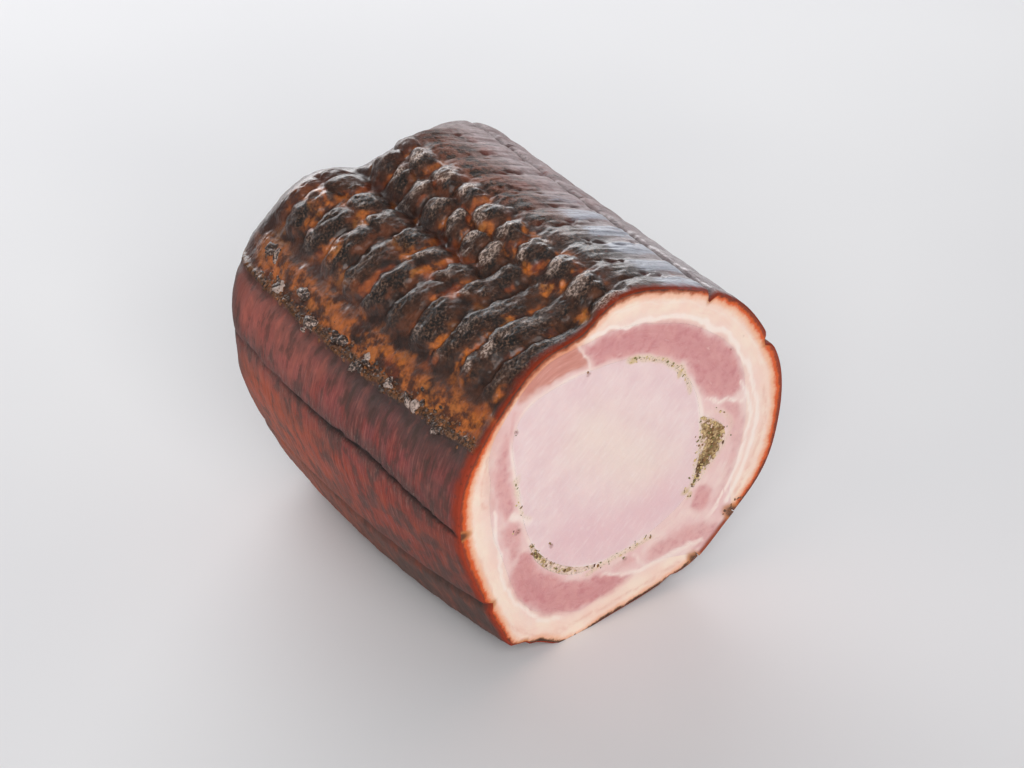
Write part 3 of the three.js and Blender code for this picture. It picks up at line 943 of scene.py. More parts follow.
def ring_faces(corner, full, finish_rows):
    """Faces of a swept loop and the finish of each, with a lid at both ends if it isn't a full turn."""
    here = corner if full else corner[:-1]
    there = np.roll(corner, -1, 0) if full else corner[1:]
    quads = np.stack([here, np.roll(here, -1, 1), np.roll(there, -1, 1), there], -1).reshape(-1, 4)
    faces = []
    finishes = []
    for quad, finish in zip(quads.tolist(), np.broadcast_to(finish_rows, here.shape).ravel()):
        corners = list(dict.fromkeys(quad))
        if len(corners) > 2:
            faces.append(corners)
            finishes.append(finish)
    if not full:
        faces += [corner[0].tolist()[::-1], corner[-1].tolist()]
        finishes += [finish_rows[0], finish_rows[0]]
    return faces, finishes, quads


def ringed(name, angle, run, full, finish_rows, sharp_rows, finishes, marks):
    """Closed piece swept round the axis. Rows form a loop, and finish_rows gives each row's finish."""
    radius, distance = run
    count, rows = radius.shape
    points = place(angle, radius, distance).reshape(-1, 3)
    _, first, shared = np.unique(np.round(points, 4), axis=0, return_index=True, return_inverse=True)
    points = points[first]
    faces, face_finish, quads = ring_faces(shared.reshape(count, rows), full, finish_rows)
    if outward_volume(points, quads) < 0:
        faces = [face[::-1] for face in faces]
    mesh = bpy.data.meshes.new(name)
    mesh.from_pydata((points * MM).tolist(), [], faces)
    for finish in finishes:
        mesh.materials.append(finish)
    mesh.polygons.foreach_set("material_index", face_finish)
    mesh.shade_smooth()
    mark_sharp(mesh, np.tile(np.arange(rows), count)[first], sharp_rows)
    marks = {key: np.broadcast_to(values, (count, rows)).ravel() for key, values in marks.items()}
    add_marks(mesh, {key: values[first] for key, values in marks.items()})
    add_places(mesh, angle, radius, distance, first)
    return linked(name, mesh)


def linked(name, data):
    """A new object of the scene."""
    made = bpy.data.objects.new(name, data)
    bpy.context.scene.collection.objects.link(made)
    return made


def outward_volume(points, quads):
    a, b, c, d = (points[quads[:, k]] for k in range(4))
    return np.einsum("ij,ij->", a, np.cross(b, c)) + np.einsum("ij,ij->", a, np.cross(c, d))


def mark_sharp(mesh, row_of, sharp_rows):
    """Sharp edges round the rows where the surface turns a corner."""
    edges = np.zeros(len(mesh.edges) * 2, int)
    mesh.edges.foreach_get("vertices", edges)
    rows = row_of[edges.reshape(-1, 2)]
    sharp = (rows[:, 0] == rows[:, 1]) & np.isin(rows[:, 0], sharp_rows)
    mesh.attributes.new("sharp_edge", "BOOLEAN", "EDGE").data.foreach_set("value", sharp)


def add_marks(mesh, marks):
    for name, values in marks.items():
        mesh.attributes.new(name, "FLOAT", "POINT").data.foreach_set("value", values.astype(np.float32))


def add_places(mesh, angle, radius, distance, first):
    """Where each point lies: unrolled along the sheet, and on the roll's section, in millimetres."""
    unrolled = (arc_of(angle), distance, outline(angle) - radius)
    section = (*on_section(angle, radius), distance)
    for name, parts in {"unrolled": unrolled, "section": section}.items():
        values = np.stack(np.broadcast_arrays(*parts), -1).reshape(-1, 3)[first]
        attribute = mesh.attributes.new(name, "FLOAT_VECTOR", "POINT")
        attribute.data.foreach_set("vector", values.astype(np.float32).ravel())


def fill_marks(shape, rows, marks):
    """Marks known on some rows, with zero on all the others."""
    filled = {}
    for name, values in marks.items():
        filled[name] = np.zeros(shape)
        filled[name][:, rows] = values
    return filled


# Finishes

def linear(shade):
    """A colour on the 0 to 255 scale of a screen, as linear light."""
    share = np.array(shade) / 255
    light = np.where(share > 0.04045, ((share + 0.055) / 1.055) ** 2.4, share / 12.92)
    return (*light.tolist(), 1.0)


class Amount:
    """A number, colour or vector that changes over a surface, made by the nodes of a finish."""

    def __init__(self, finish, socket):
        self.finish = finish
        self.socket = socket

    def worked(self, operation, *values, kind="Math"):
        return self.finish.node(kind, {"operation": operation}, dict(enumerate(values)))

    def __add__(self, other):
        kind = "VectorMath" if self.socket.type == "VECTOR" else "Math"
        return self.worked("ADD", self, other, kind=kind)

    __radd__ = __add__

    def __mul__(self, other):
        return self.worked("MULTIPLY", self, other)

    __rmul__ = __mul__

    def __sub__(self, other):
        return self.worked("SUBTRACT", self, other)

    def __rsub__(self, other):
        return self.worked("SUBTRACT", other, self)

    def at_least(self, other):
        return self.worked("MAXIMUM", self, other)

    def stretched(self, x, y, z):
        return self.worked("MULTIPLY", self, (x, y, z), kind="VectorMath")

    def rise(self, low, high):
        """0 below low, 1 above high, and an even rise between them."""
        settings = {"interpolation_type": "SMOOTHSTEP"}
        return self.finish.node("MapRange", settings, {"Value": self, "From Min": low, "From Max": high})

    def part(self, axis):
        return self.finish.node("SeparateXYZ", {}, {"Vector": self}, axis)

    def under(self, *coats):
        """This colour under coats of paint. Each coat is its share and its colour."""
        skin = self
        for share, shade in coats:
            skin = self.finish.mix(share, skin, shade)
        return skin


class Finish:
    """One material in the making, and short ways to add nodes to it. Plain colours are on the 0 to 255
    scale of a screen."""

    def __init__(self, name):
        self.material = bpy.data.materials.new(name)
        self.material.use_nodes = True
        self.tree = self.material.node_tree
        self.tree.nodes.clear()

    def node(self, kind, settings, sockets, output=0):
        """A node of any type: its settings are set first, then its sockets' values or links."""
        node = self.tree.nodes.new("ShaderNode" + kind)
        for name, value in settings.items():
            setattr(node, name, value)
        for name, value in sockets.items():
            if isinstance(value, Amount):
                self.tree.links.new(value.socket, node.inputs[name])
            else:
                node.inputs[name].default_value = value
        return Amount(self, node.outputs[output])

    def mark(self, name, output="Fac"):
        return self.node("Attribute", {"attribute_name": name}, {}, output)

    def places(self, name):
        return self.mark(name, "Vector")

    def own_places(self):
        return self.node("TexCoord", {}, {}, "Object")

    def past(self, first, last):
        """0 before one angle of the skin, and 1 past another."""
        return self.places("unrolled").part(0).rise(arc_of(first), arc_of(last))

    def noise(self, places, size, detail=2.0, roughness=0.5):
        """Random field from 0 to 1 whose patches are about size across."""
        sockets = {"Vector": places, "Scale": 1 / size, "Detail": detail, "Roughness": roughness}
        return self.node("TexNoise", {}, sockets, "Fac")

    def cells(self, places, size):
        """Distance from the middle of the nearest of many random cells."""
        return self.node("TexVoronoi", {}, {"Vector": places, "Scale": 1 / size}, "Distance")

    def turned(self, places, angle):
        """The places turned about their third axis."""
        return self.node("VectorRotate", {"rotation_type": "Z_AXIS"}, {"Vector": places, "Angle": angle})

    def mix(self, share, a, b):
        """Colour a where the share is 0, and b where it is 1."""
        a, b = (shade if isinstance(shade, Amount) else linear(shade) for shade in (a, b))
        return self.node("Mix", {"data_type": "RGBA"}, {0: share, 6: a, 7: b}, 2)

    def bump(self, height, depth):
        return self.node("Bump", {}, {"Height": height, "Distance": depth * MM, "Strength": 1.0})

    def surface(self, **sockets):
        """The finished material, from the shader's sockets by name with _ for a space."""
        named = {name.replace("_", " "): value for name, value in sockets.items()}
        shader = self.node("BsdfPrincipled", {}, named)
        output = self.tree.nodes.new("ShaderNodeOutputMaterial")
        self.tree.links.new(shader.socket, output.inputs["Surface"])
        return self.material


def add_skin_fields(f):
    """Random fields that the rind's colours use, kept on its finish."""
    sheet = f.places("unrolled")
    one_way = f.noise(f.turned(sheet, 0.65).stretched(0.34, 1, 1), 0.85, 4, 0.65)
    other_way = f.noise(f.turned(sheet, -0.35).stretched(0.34, 1, 1), 0.85, 4, 0.65)
    f.arc = sheet.part(0)
    f.distance = sheet.part(1)
    f.far = f.distance.rise(25, 75)
    f.blotch = f.noise(sheet, 12, 2)
    f.patchy = f.noise(sheet, 4.5, 3, 0.6)
    f.grit = f.noise(sheet.stretched(0.55, 1, 1), 0.9, 4, 0.7)
    f.grain = f.noise(sheet, 0.85, 3, 0.7)
    f.fibres = one_way + (other_way - one_way) * f.blotch.rise(0.46, 0.54)
    f.fleck = f.noise(sheet.stretched(0.4, 1.2, 1), 0.9, 3, 0.75)
    f.streak = f.noise(sheet.stretched(0.09, 1, 1), 1.3, 4, 0.7)
    f.wide_streak = f.noise(sheet.stretched(0.3, 1, 1), 5, 3)
    f.thin = f.noise(sheet.stretched(0.07, 1, 1), 0.7, 3, 0.6)
    f.mottled = f.noise(sheet.stretched(0.45, 1, 1), 4.5, 4, 0.6)


def smoked_rind():
    """Outside of the roast: maroon smoked side, charred knobs with amber glaze between them, ribs."""
    f = Finish("smoked_rind")
    add_skin_fields(f)
    side, ribs, knobs, charred = f.mark("side"), f.mark("ribs"), f.mark("knobs"), f.mark("charred")
    glaze = f.mark("glaze")
    crust = knobs.at_least(charred)
    rim = 1 - (f.distance + f.patchy * 4 + f.grit * 1.6 - side * 0.6).rise(2.8, 6.8)
    skin = f.mix(side, rib_colours(f), side_colours(f))
    skin = crust_colours(f, f.mix(crust, skin, char_colours(f)))
    skin = border_and_crack_colours(f, skin)
    skin = f.mix(rim * 0.9, skin, skin_rim_colours(f, side))

    height = crust * (f.grit * 0.35 + f.grain * 0.3 + f.fibres * 0.5) * (1 - glaze * 0.5)
    height = height + side * (f.streak * 0.25 + f.grit * 0.1) + glaze * f.patchy * 0.4
    height = height + ribs * (f.streak * 0.35 + f.grit * 0.2 + f.patchy * 0.5)
    dull = 0.36 + f.grit * 0.24 + crust * 0.02 + charred * 0.14 - glaze * 0.14
    dull = dull + side * (0.06 + f.streak * 0.12)
    dull = dull - ribs * (f.patchy * 0.25 - 0.02) + ribs * f.far * 0.14 + rim * 0.3
    coat = glaze * 0.45 + ribs * (1 - f.far) * 0.4 + knobs * 0.35
    return f.surface(
        Base_Color=skin,
        Roughness=dull,
        Normal=f.bump(height, 1.0),
        Coat_Weight=coat * (1 - rim),
        Coat_Roughness=0.22,
        Subsurface_Weight=0.03,
        Subsurface_Scale=0.003,
        Specular_IOR_Level=0.32,
    )


def side_colours(f):
    """Maroon and mauve in fine streaks, grey beside the crust and in patches, browner low down."""
    streak, wide_streak, blotch, thin, mottled = f.streak, f.wide_streak, f.blotch, f.thin, f.mottled
    below = f.past(171, 183)
    near = 1 - f.distance.rise(12, 42)
    far = f.distance.rise(45, 110)
    warm = (below * far * 0.55 + below * 0.45) * streak.rise(0.1, 0.55)
    lowest = f.past(197, 219) * (0.5 + wide_streak * 0.6)
    near_border = 1 - (f.arc + wide_streak * 10 * ARC).rise(arc_of(157), arc_of(172))
    near_border = near_border * f.past(107, 147)
    right = 1 - f.past(7, 47)
    light = f.mix(below, (196, 108, 92), (194, 88, 50))
    return f.mix(streak.rise(0.25, 0.75), (112, 46, 42), (164, 70, 60)).under(
        (wide_streak.rise(0.42, 0.62) * (0.5 - below * 0.35), (146, 88, 88)),
        (warm, (162, 65, 32)),
        (blotch.rise(0.48, 0.58) * (0.45 + below * 0.15), (82, 62, 57)),
        ((1 - blotch).rise(0.5, 0.62) * (0.35 - below * 0.2), (150, 56, 56)),
        (thin.rise(0.52, 0.68) * 0.5, (66, 38, 35)),
        ((1 - thin).rise(0.55, 0.66) * 0.36, (192, 124, 112)),
        (lowest, (86, 64, 54)),
        (near_border * (0.65 + streak * 0.5), (78, 71, 69)),
        (near * 0.35, (78, 56, 50)),
        (far * 0.38, light),
        (mottled.rise(0.5, 0.62) * 0.6, (68, 53, 46)),
        ((1 - mottled).rise(0.52, 0.66) * (0.2 + far * 0.3), light),
        (right * (0.4 + wide_streak * 0.5), (88, 56, 48)),
    )


def rib_colours(f):
    """Grey-brown with a painted bluish highlight on the rounds near the cut, a pale painted sheen on
    the upper right, and browner and pinker farther back.
    """
    patchy, streak = f.patchy, f.streak
    shine = (1 - f.past(62, 74)) * f.past(23, 45)
    gleam = (f.mark("gleam") * 1.6 + (streak - 0.5) * 2).rise(0.3, 1.3)
    return f.mix(patchy.rise(0.3, 0.7), (52, 41, 39), (84, 70, 70)).under(
        (f.far * 0.85, f.mix(patchy.rise(0.35, 0.65), (80, 51, 42), (130, 83, 71))),
        (streak.rise(0.5, 0.7) * 0.5, (126, 96, 94)),
        (f.blotch.rise(0.5, 0.62) * f.far * 0.5, (146, 76, 62)),
        (shine * (0.25 + patchy * 0.7), (184, 166, 168)),
        (gleam * 0.8, (168, 174, 189)),
        ((1 - streak).rise(0.54, 0.7) * 0.75, (40, 29, 28)),
        ((1 - patchy).rise(0.58, 0.7) * streak.rise(0.45, 0.6) * 0.6, (146, 66, 58)),
        (f.grit.rise(0.54, 0.7) * (0.6 - shine * 0.2), (42, 31, 29)),
    )


def char_colours(f):
    """Dark crust: black and brown with lighter ashy grains."""
    grain = f.fibres * 0.35 + f.grain * 0.65
    return f.mix(grain.rise(0.45, 0.62), (16, 10, 7), (92, 64, 48)).under(
        (grain.rise(0.54, 0.64) * f.patchy.rise(0.38, 0.58) * 0.65, (140, 114, 96)),
        (f.blotch.rise(0.42, 0.66) * f.patchy.rise(0.3, 0.6) * 0.75, (80, 42, 20)),
    )


def amber_colours(f, strip):
    """Glossy glaze in the hollows of the crust, from dark honey to gold and orange."""
    patchy, blotch = f.patchy, f.blotch
    return f.mix(patchy.rise(0.38, 0.64), (78, 34, 12), (204, 112, 34)).under(
        (blotch.rise(0.5, 0.62) * 0.6, (148, 66, 36)),
        ((1 - blotch).rise(0.54, 0.64) * patchy.rise(0.4, 0.6) * 0.6, (158, 112, 44)),
        (strip * 0.6, f.mix(patchy.rise(0.38, 0.62), (96, 48, 22), (206, 116, 56))),
        (strip * blotch.rise(0.53, 0.62) * 0.6, (62, 44, 36)),
        (f.grit.rise(0.48, 0.68) * 0.4, (62, 30, 14)),
    )


def crust_colours(f, skin):
    """Brown hollows, partly painted shade, and glaze between the knobs, torn pits, pale crests with
    painted highlights, and the darker far end.
    """
    patchy, blotch = f.patchy, f.blotch
    hollow, glaze, pale, strip = f.mark("between"), f.mark("glaze"), f.mark("pale"), f.mark("strip")
    ragged = (patchy - 0.5) * 1.5 + (f.grit - 0.5) * 0.4
    # Pale ash and painted highlight on the knobs' crests, the palest of it a painted highlight.
    crest = (pale * 2.2 + (patchy - 0.5) * pale * 5).rise(0.1, 1.9)
    crest_highlight = crest * (f.fibres * 0.45 + f.grain * 0.55).rise(0.46, 0.58)
    warm_patch = patchy.rise(0.42, 0.6) * f.far * (f.mark("charred") + hollow * 0.4)
    return skin.under(
        # Dark brown glaze in the hollows between the knobs, darkened further as painted shade.
        (hollow * 0.85, f.mix(patchy.rise(0.3, 0.7), (38, 20, 12), (96, 52, 26))),
        (strip * 0.6, f.mix(blotch.rise(0.42, 0.58), (62, 47, 43), (106, 80, 70))),
        ((glaze + glaze * ragged).rise(0.2, 0.85), amber_colours(f, strip)),
        (f.mark("pits") * 0.8, (84, 32, 28)),
        (crest * 0.55, (112, 86, 72)),
        (crest_highlight * 0.9, (204, 180, 166)),
        (warm_patch * 0.5, (156, 86, 58)),
        (f.mark("over_end") * (0.45 + blotch * 0.6), (74, 42, 33)),
    )


def border_and_crack_colours(f, skin):
    """Crumbs in the ridge along the border, painted shade in the crack and creases, and ash beside the
    crack.
    """
    border, beside = f.mark("crust_line").rise(0.1, 0.5), f.mark("crack_side")
    crumb = f.mix(f.grit.rise(0.35, 0.6), (24, 15, 11), (118, 76, 44))
    return skin.under(
        (border * f.patchy.rise(0.3, 0.5), crumb),
        (border * f.fleck.rise(0.55, 0.66) * f.blotch.rise(0.45, 0.6) * 0.8, (168, 136, 116)),
        (beside * (f.patchy * 0.9 + 0.1), (62, 50, 48)),
        (beside * f.fleck.rise(0.54, 0.64) * 0.7, (132, 104, 94)),
        # Painted shade in the crack and the creases, darker where they are deeper.
        (f.mark("crack"), (26, 15, 13)),
        (f.mark("creased") * 0.8, (44, 26, 22)),
    )


def skin_rim_colours(f, side):
    """The skin's first millimetres behind the cut."""
    dark = f.grit.rise(0.5, 0.66) * f.patchy.rise(0.4, 0.6) * 0.7
    return f.mix(side, (138, 42, 8), (154, 54, 28)).under((dark, (64, 30, 20)))


def cut_finish(name):
    """A finish with the random fields that every layer of the cut face uses."""
    f = Finish(name)
    f.section = f.places("section")
    sheet = f.places("unrolled")
    f.depth = sheet.part(2)
    f.mottle = f.noise(f.section, 3.2, 3, 0.6)
    f.fine = f.noise(f.section, 0.7, 3, 0.6)
    f.cloud = f.noise(f.section, 11, 2)
    f.fibre = f.noise(sheet.stretched(0.13, 1, 1), 1.5, 3, 0.6)
    return f


def cut_surface(f, skin, wet=0.34):
    return f.surface(
        Base_Color=skin,
        Roughness=wet + f.fine * 0.12,
        Normal=f.bump(f.mottle * 0.5 + f.fine * 0.2, 0.35),
        Subsurface_Weight=0.15,
        Subsurface_Radius=(1.0, 0.5, 0.35),
        Subsurface_Scale=0.001,
        Specular_IOR_Level=0.35,
    )


def with_marks(f, skin):
    """The cut's lean, seams, herbs and spots, painted over a layer's own colour."""
    mottle, fibre, herbs = f.mottle, f.fibre, f.mark("herbs")
    ragged = (fibre - 0.5) * 0.6 + (mottle - 0.5) * 0.5
    salmon = (f.mark("salmon") + f.mark("salmon") * ragged).rise(0.05, 0.95)
    deep = (f.mark("deep") + f.mark("deep") * ragged).rise(0.05, 0.85)
    lean = f.mix(fibre.rise(0.25, 0.8), (211, 149, 149), (223, 168, 165)).under(
        (mottle.rise(0.42, 0.72) * 0.65, (197, 122, 126)),
        (f.cloud.rise(0.45, 0.62) * 0.4, (226, 170, 164)),
    )
    marbling = fibre.rise(0.56, 0.74) * mottle.rise(0.45, 0.62) * (deep + salmon)
    seam = f.mark("seam") * (0.5 + fibre * 0.5 + mottle * 0.4)
    speck = f.fine.rise(0.5, 0.66)
    return skin.under(
        (salmon, f.mix(fibre.rise(0.3, 0.7), (200, 132, 118), (212, 148, 134))),
        (deep, lean),
        (f.mark("deeper") * fibre.rise(0.3, 0.7) * 0.6, (194, 122, 124)),
        (marbling * 0.42, (244, 214, 206)),
        (seam.rise(0.15, 0.9) * 0.85, (251, 234, 224)),
        (herbs.rise(0.15, 0.9) * (0.25 + mottle * 0.6), (228, 204, 172)),
        (herbs.rise(0.3, 0.9) * speck * 0.6, (150, 122, 80)),
        (f.mark("yellow").rise(0.2, 0.8) * 0.6, (204, 176, 112)),
        (f.mark("brown").rise(0.2, 0.8) * (0.45 + speck * 0.5), (140, 84, 66)),
    )


def scorched(f, skin):
    """Burnt notches in the edge of the cut."""
    burnt = f.mark("burnt")
    return skin.under(
        (burnt.rise(0.12, 0.5) * 0.8, (190, 118, 62)),
        (burnt.rise(0.42, 0.8) * 0.85, (78, 40, 22)),
    )


def rind_edge(f, skin):
    """The rind where it is cut: a dark line at the edge, a brown band, and its glow in the fat."""
    width, under, top = f.mark("rim_width"), f.mark("under_rim"), f.mark("top_rim")
    uneven = f.depth + f.mottle * 2.6 + f.fine * 0.9 - 1.75
    band = f.mix(under, (216, 90, 28), (150, 92, 50)).under((top, (168, 84, 46)))
    edge = f.mix(f.mark("side_rim"), (104, 42, 18), (146, 54, 24)).under(
        (top, (82, 38, 22)),
        (under, (66, 40, 25)),
    )
    return skin.under(
        ((1 - (uneven - width).rise(-0.4, 2.2)) * (0.75 - top * 0.15), (238, 166, 122)),
        (1 - (uneven - width * 0.85).rise(-1.0, 0.6), band),
        (1 - (uneven - width * (0.42 + under * 0.3)).rise(-0.6, 0.6), edge),
    )


def cut_fat():
    """Cream fat with its rind."""
    f = cut_finish("cut_fat")
    skin = f.mix(f.cloud.rise(0.35, 0.65), (249, 226, 208), (246, 214, 198)).under(
        (f.fibre.rise(0.5, 0.8) * 0.5, (240, 202, 188)),
        (f.depth.rise(7, 12) * 0.5, (240, 208, 200)),
        (f.mark("vein") * f.mottle.rise(0.3, 0.6) * 0.5, (226, 172, 152)),
    )
    return cut_surface(f, scorched(f, rind_edge(f, with_marks(f, skin))))


def cut_lean():
    """Belly lean between its pale membranes, brown at its edge where it shows bare."""
    f = cut_finish("cut_lean")
    skin = f.mix(f.cloud.rise(0.35, 0.65), (240, 212, 204), (234, 196, 192))
    skin = with_marks(f, skin.under((f.fibre.rise(0.5, 0.8) * 0.4, (224, 176, 172))))
    edge = 1 - (f.depth + f.mottle * 1.2).rise(1.4, 3.8)
    return cut_surface(f, scorched(f, skin.under((edge * f.mark("bare"), (150, 62, 30)))))


LOIN_GRAIN = -0.7


def cut_loin():
    """Pale pink loin with a faint creamy cast across its middle and a fine slanting grain."""
    f = cut_finish("cut_loin")
    grain = f.noise(f.turned(f.section, LOIN_GRAIN).stretched(0.24, 1, 1), 1.5, 4, 0.6)
    skin = f.mix(f.cloud.rise(0.3, 0.7), (238, 213, 211), (232, 202, 203)).under(
        (f.mark("cream") * 0.7, (240, 221, 208)),
        (f.mark("pinker") * 0.7, (230, 190, 194)),
        (f.mottle.rise(0.55, 0.8) * 0.35, (244, 226, 222)),
        (grain.rise(0.5, 0.75) * 0.26, (249, 236, 232)),
        ((1 - grain).rise(0.5, 0.75) * 0.26, (226, 190, 191)),
    )
    return cut_surface(f, with_marks(f, skin), wet=0.36)


ELSEWHERE = (40, 0, 0)


def herb_filling():
    """Chopped herbs: green, brown and straw bits, ragged towards the meat."""
    f = Finish("herb_filling")
    section = f.places("section")
    bits = f.cells(section, 1.5)
    mottle = f.noise(section, 2.0, 4, 0.7)
    cloud = f.noise(section, 4, 2)
    other = f.noise(section + ELSEWHERE, 1.0, 2, 0.6)
    core = f.mark("core") + (cloud - 0.5) * 2
    skin = f.mix(mottle.rise(0.42, 0.56), (146, 112, 62), (222, 192, 142)).under(
        (other.rise(0.52, 0.6) * 0.7, (144, 98, 58)),
        (bits.rise(0.5, 0.76) * 0.5, (98, 70, 42)),
        (core.rise(0.75, 1.25) * 0.5, (122, 84, 44)),
        (f.mark("tail") * mottle.rise(0.35, 0.5) * 0.75, (88, 58, 34)),
    )
    ragged = (core + (mottle - 0.5) * 2).rise(0.2, 0.5)
    return f.surface(
        Base_Color=f.mix(ragged, (235, 206, 190), skin),
        Roughness=0.55 + mottle * 0.2,
        Normal=f.bump(mottle - bits * 0.8, 0.9),
        Subsurface_Weight=0.05,
        Subsurface_Scale=0.002,
    )


def crust_crumbs():
    """Crumbs of crust, from dark caramel to ashy white, the pale patches partly a painted highlight."""
    f = Finish("crust_crumbs")
    tone = f.mark("tone")
    grain = f.noise(f.own_places(), 0.0008, 3, 0.6)
    skin = f.mix(tone.rise(0.0, 0.3), (136, 80, 36), (44, 30, 24)).under(
        (grain.rise(0.45, 0.65) * 0.5, (130, 88, 56)),
        # Pale ash patches, partly a painted highlight on the dark crumbs.
        ((tone + grain * 2.4 - 1.2).rise(0.45, 0.95) * 0.85, (196, 172, 160)),
    )
    return f.surface(
        Base_Color=skin,
        Roughness=0.35 + grain * 0.25,
        Normal=f.bump(grain, 0.3),
        Coat_Weight=0.25,
        Coat_Roughness=0.2,
    )


def chopped_herbs():
    """Bits of herb in olive, brown, dark and straw."""
    f = Finish("chopped_herbs")
    tone = f.mark("tone")
    grain = f.noise(f.own_places(), 0.0006, 3, 0.6)
    skin = f.mix(tone.rise(0.2, 0.3), (122, 116, 62), (140, 98, 56)).under(
        (tone.rise(0.44, 0.5), (100, 68, 38)),
        (tone.rise(0.6, 0.66), (212, 186, 130)),
        (grain.rise(0.5, 0.8) * 0.5, (160, 132, 84)),
    )
    return f.surface(Base_Color=skin, Roughness=0.5 + grain * 0.2, Normal=f.bump(grain, 0.15))


def browned_meat():
    """Bare meat that the oven browned, at the far end and where the sheet's ends meet."""
    f = Finish("browned_meat")
    section = f.places("section")
    cloud = f.noise(section, 9, 3)
    grain = f.noise(section, 1.1, 4, 0.65)
    fibres = f.noise(f.turned(section, 0.4).stretched(0.25, 1, 0.2), 1.4, 4, 0.65)
    skin = f.mix(cloud.rise(0.35, 0.65), (112, 60, 44), (74, 42, 34)).under(
        (fibres.rise(0.52, 0.72) * 0.6, (150, 96, 70)),
        ((1 - fibres).rise(0.52, 0.68) * 0.6, (48, 29, 24)),
        (grain.rise(0.56, 0.74) * 0.6, (40, 25, 21)),
        (f.mark("edge") * (0.45 + cloud * 0.8), (26, 16, 13)),
    )
    return f.surface(
        Base_Color=skin,
        Roughness=0.34 + grain * 0.2,
        Normal=f.bump(grain * 0.6 + fibres * 0.5, 0.8),
        Coat_Weight=0.2,
        Coat_Roughness=0.25,
        Subsurface_Weight=0.05,
        Subsurface_Scale=0.003,
    )


def pale_floor():
    f = Finish("pale_floor")
    cloud = f.noise(f.own_places(), 0.35, 3)
    return f.surface(
        Base_Color=f.mix(cloud.rise(0.3, 0.7), (232, 232, 233), (226, 226, 228)),
        Roughness=0.5 + cloud * 0.1,
        Specular_IOR_Level=0.3,
    )


# Pieces of the roast

rim_width = curve_around([
    (-170, 4.0), (-150, 3.0), (-120, 2.2), (-90, 2.0), (-65, 2.2), (-30, 3.6), (10, 4.3), (40, 3.4),
    (62, 2.7), (94, 3.2), (125, 3.3), (148, 3.5), (165, 4.2),
])


def rim_marks(angle):
    """How wide the rind shows at the edge of the cut, and where it is redder, darker or browner."""
    return {
        "rim_width": rim_width(angle),
        "side_rim": fading(angle % 360 - 185, 30) + fading(angle - 12, 30),
        "under_rim": between(angle, *UNDER_RIM),
        "top_rim": between(angle, *TOP_RIM),
    }


def face_marks(angle, radius, rows):
    """Marks of the cut face on its rows, with zero on all the others."""
    face = radius[:, rows]
    return fill_marks(radius.shape, rows, cut_marks(angle + 0 * face, face))


def fat_and_rind_piece(rind, fat):
    angle = columns_between(FAT_FROM, FAT_TO)[:, None]
    inner = fat_inner(angle)
    *skin, marks = skin_surface(angle, inner)
    face = across_cut(inner, skin[0][:, :1], FACE_ROWS)
    back = reversed_rows(wall(angle, inner, WALL_ROWS))
    run = combined(skin, (back[0][:, 1:], back[1][:, 1:]), face)
    shape = run[0].shape
    skin_rows = skin[0].shape[1]
    first_face = skin_rows + WALL_ROWS - 1
    finish_rows = (np.arange(shape[1]) >= skin_rows - 1).astype(int)
    marks = fill_marks(shape, np.arange(skin_rows), marks)
    marks |= face_marks(angle, run[0], np.r_[0, np.arange(first_face, shape[1])]) | rim_marks(angle)
    sharp = [0, skin_rows - 1, first_face]
    piece = ringed("rind_and_fat", angle, run, False, finish_rows, sharp, [rind, fat], marks)
    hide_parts("fat_and_rind")
    return piece


def browned_end(angle, outer, inner, edge_inner, rows):
    """A layer's craggy browned end, smooth towards its edges."""
    radius, distance = end_profile(angle, outer, inner, rows)
    edge = layer_edge(radius, outer, edge_inner)
    return radius, distance + end_relief(angle, radius, edge)


def bare_relief(angle, bare, run):
    """The lean's outside, with relief where it shows bare between the sheet's ends."""
    radius, distance = run
    arc = arc_of(angle)
    grain = crags(arc, distance, 3, 91) + crags(arc * 0.2, distance, 2, 94, 2)
    behind_cut = smooth(distance, *BARE_RELIEF_BEGINS)
    rise = bare * 0.3 * grain * behind_cut * (1 - smooth(distance, *BARE_RELIEF_ENDS))
    return radius + np.minimum(rise, 0.4) - 0.3 * bare * behind_cut, distance


def meat_marks(angle, run, outer, inner, first_face):
    """Marks of the lean or the loin, and the finish of each row: browned up to the cut face."""
    radius, distance = run
    rows = np.arange(radius.shape[1])
    marks = face_marks(angle, radius, np.r_[0, rows[first_face:]])
    marks["edge"] = layer_edge(radius, outer, inner) * (distance > ROAST_LENGTH / 2)
    return marks, (rows < first_face).astype(int)


def lean_piece(lean, browned):
    angle = COLUMNS[:, None]
    outer = lean_outer(angle)
    inner = lean_inner(angle)
    bare = between(along_sheet(angle), FAT_TO - 1, FAT_TO + 1, FAT_FROM + 358, FAT_FROM + 360)
    run = combined(
        bare_relief(angle, bare, wall(angle, outer, LEAN_WALL_ROWS)),
        inner_rows(browned_end(angle, outer, inner, inner, LAYER_END_ROWS)),
        reversed_rows(wall(angle, inner, WALL_ROWS)),
        across_cut(inner, outer, LEAN_FACE_ROWS),
    )
    first_inside = LEAN_WALL_ROWS + LAYER_END_ROWS
    first_face = first_inside + WALL_ROWS
    marks, finish_rows = meat_marks(angle, run, outer, inner, first_face)
    marks["bare"] = bare
    sharp = [0, LEAN_WALL_ROWS, first_inside, first_face]
    piece = ringed("lean_sheet", angle, run, True, finish_rows, sharp, [lean, browned], marks)
    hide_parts("belly_lean")
    return piece


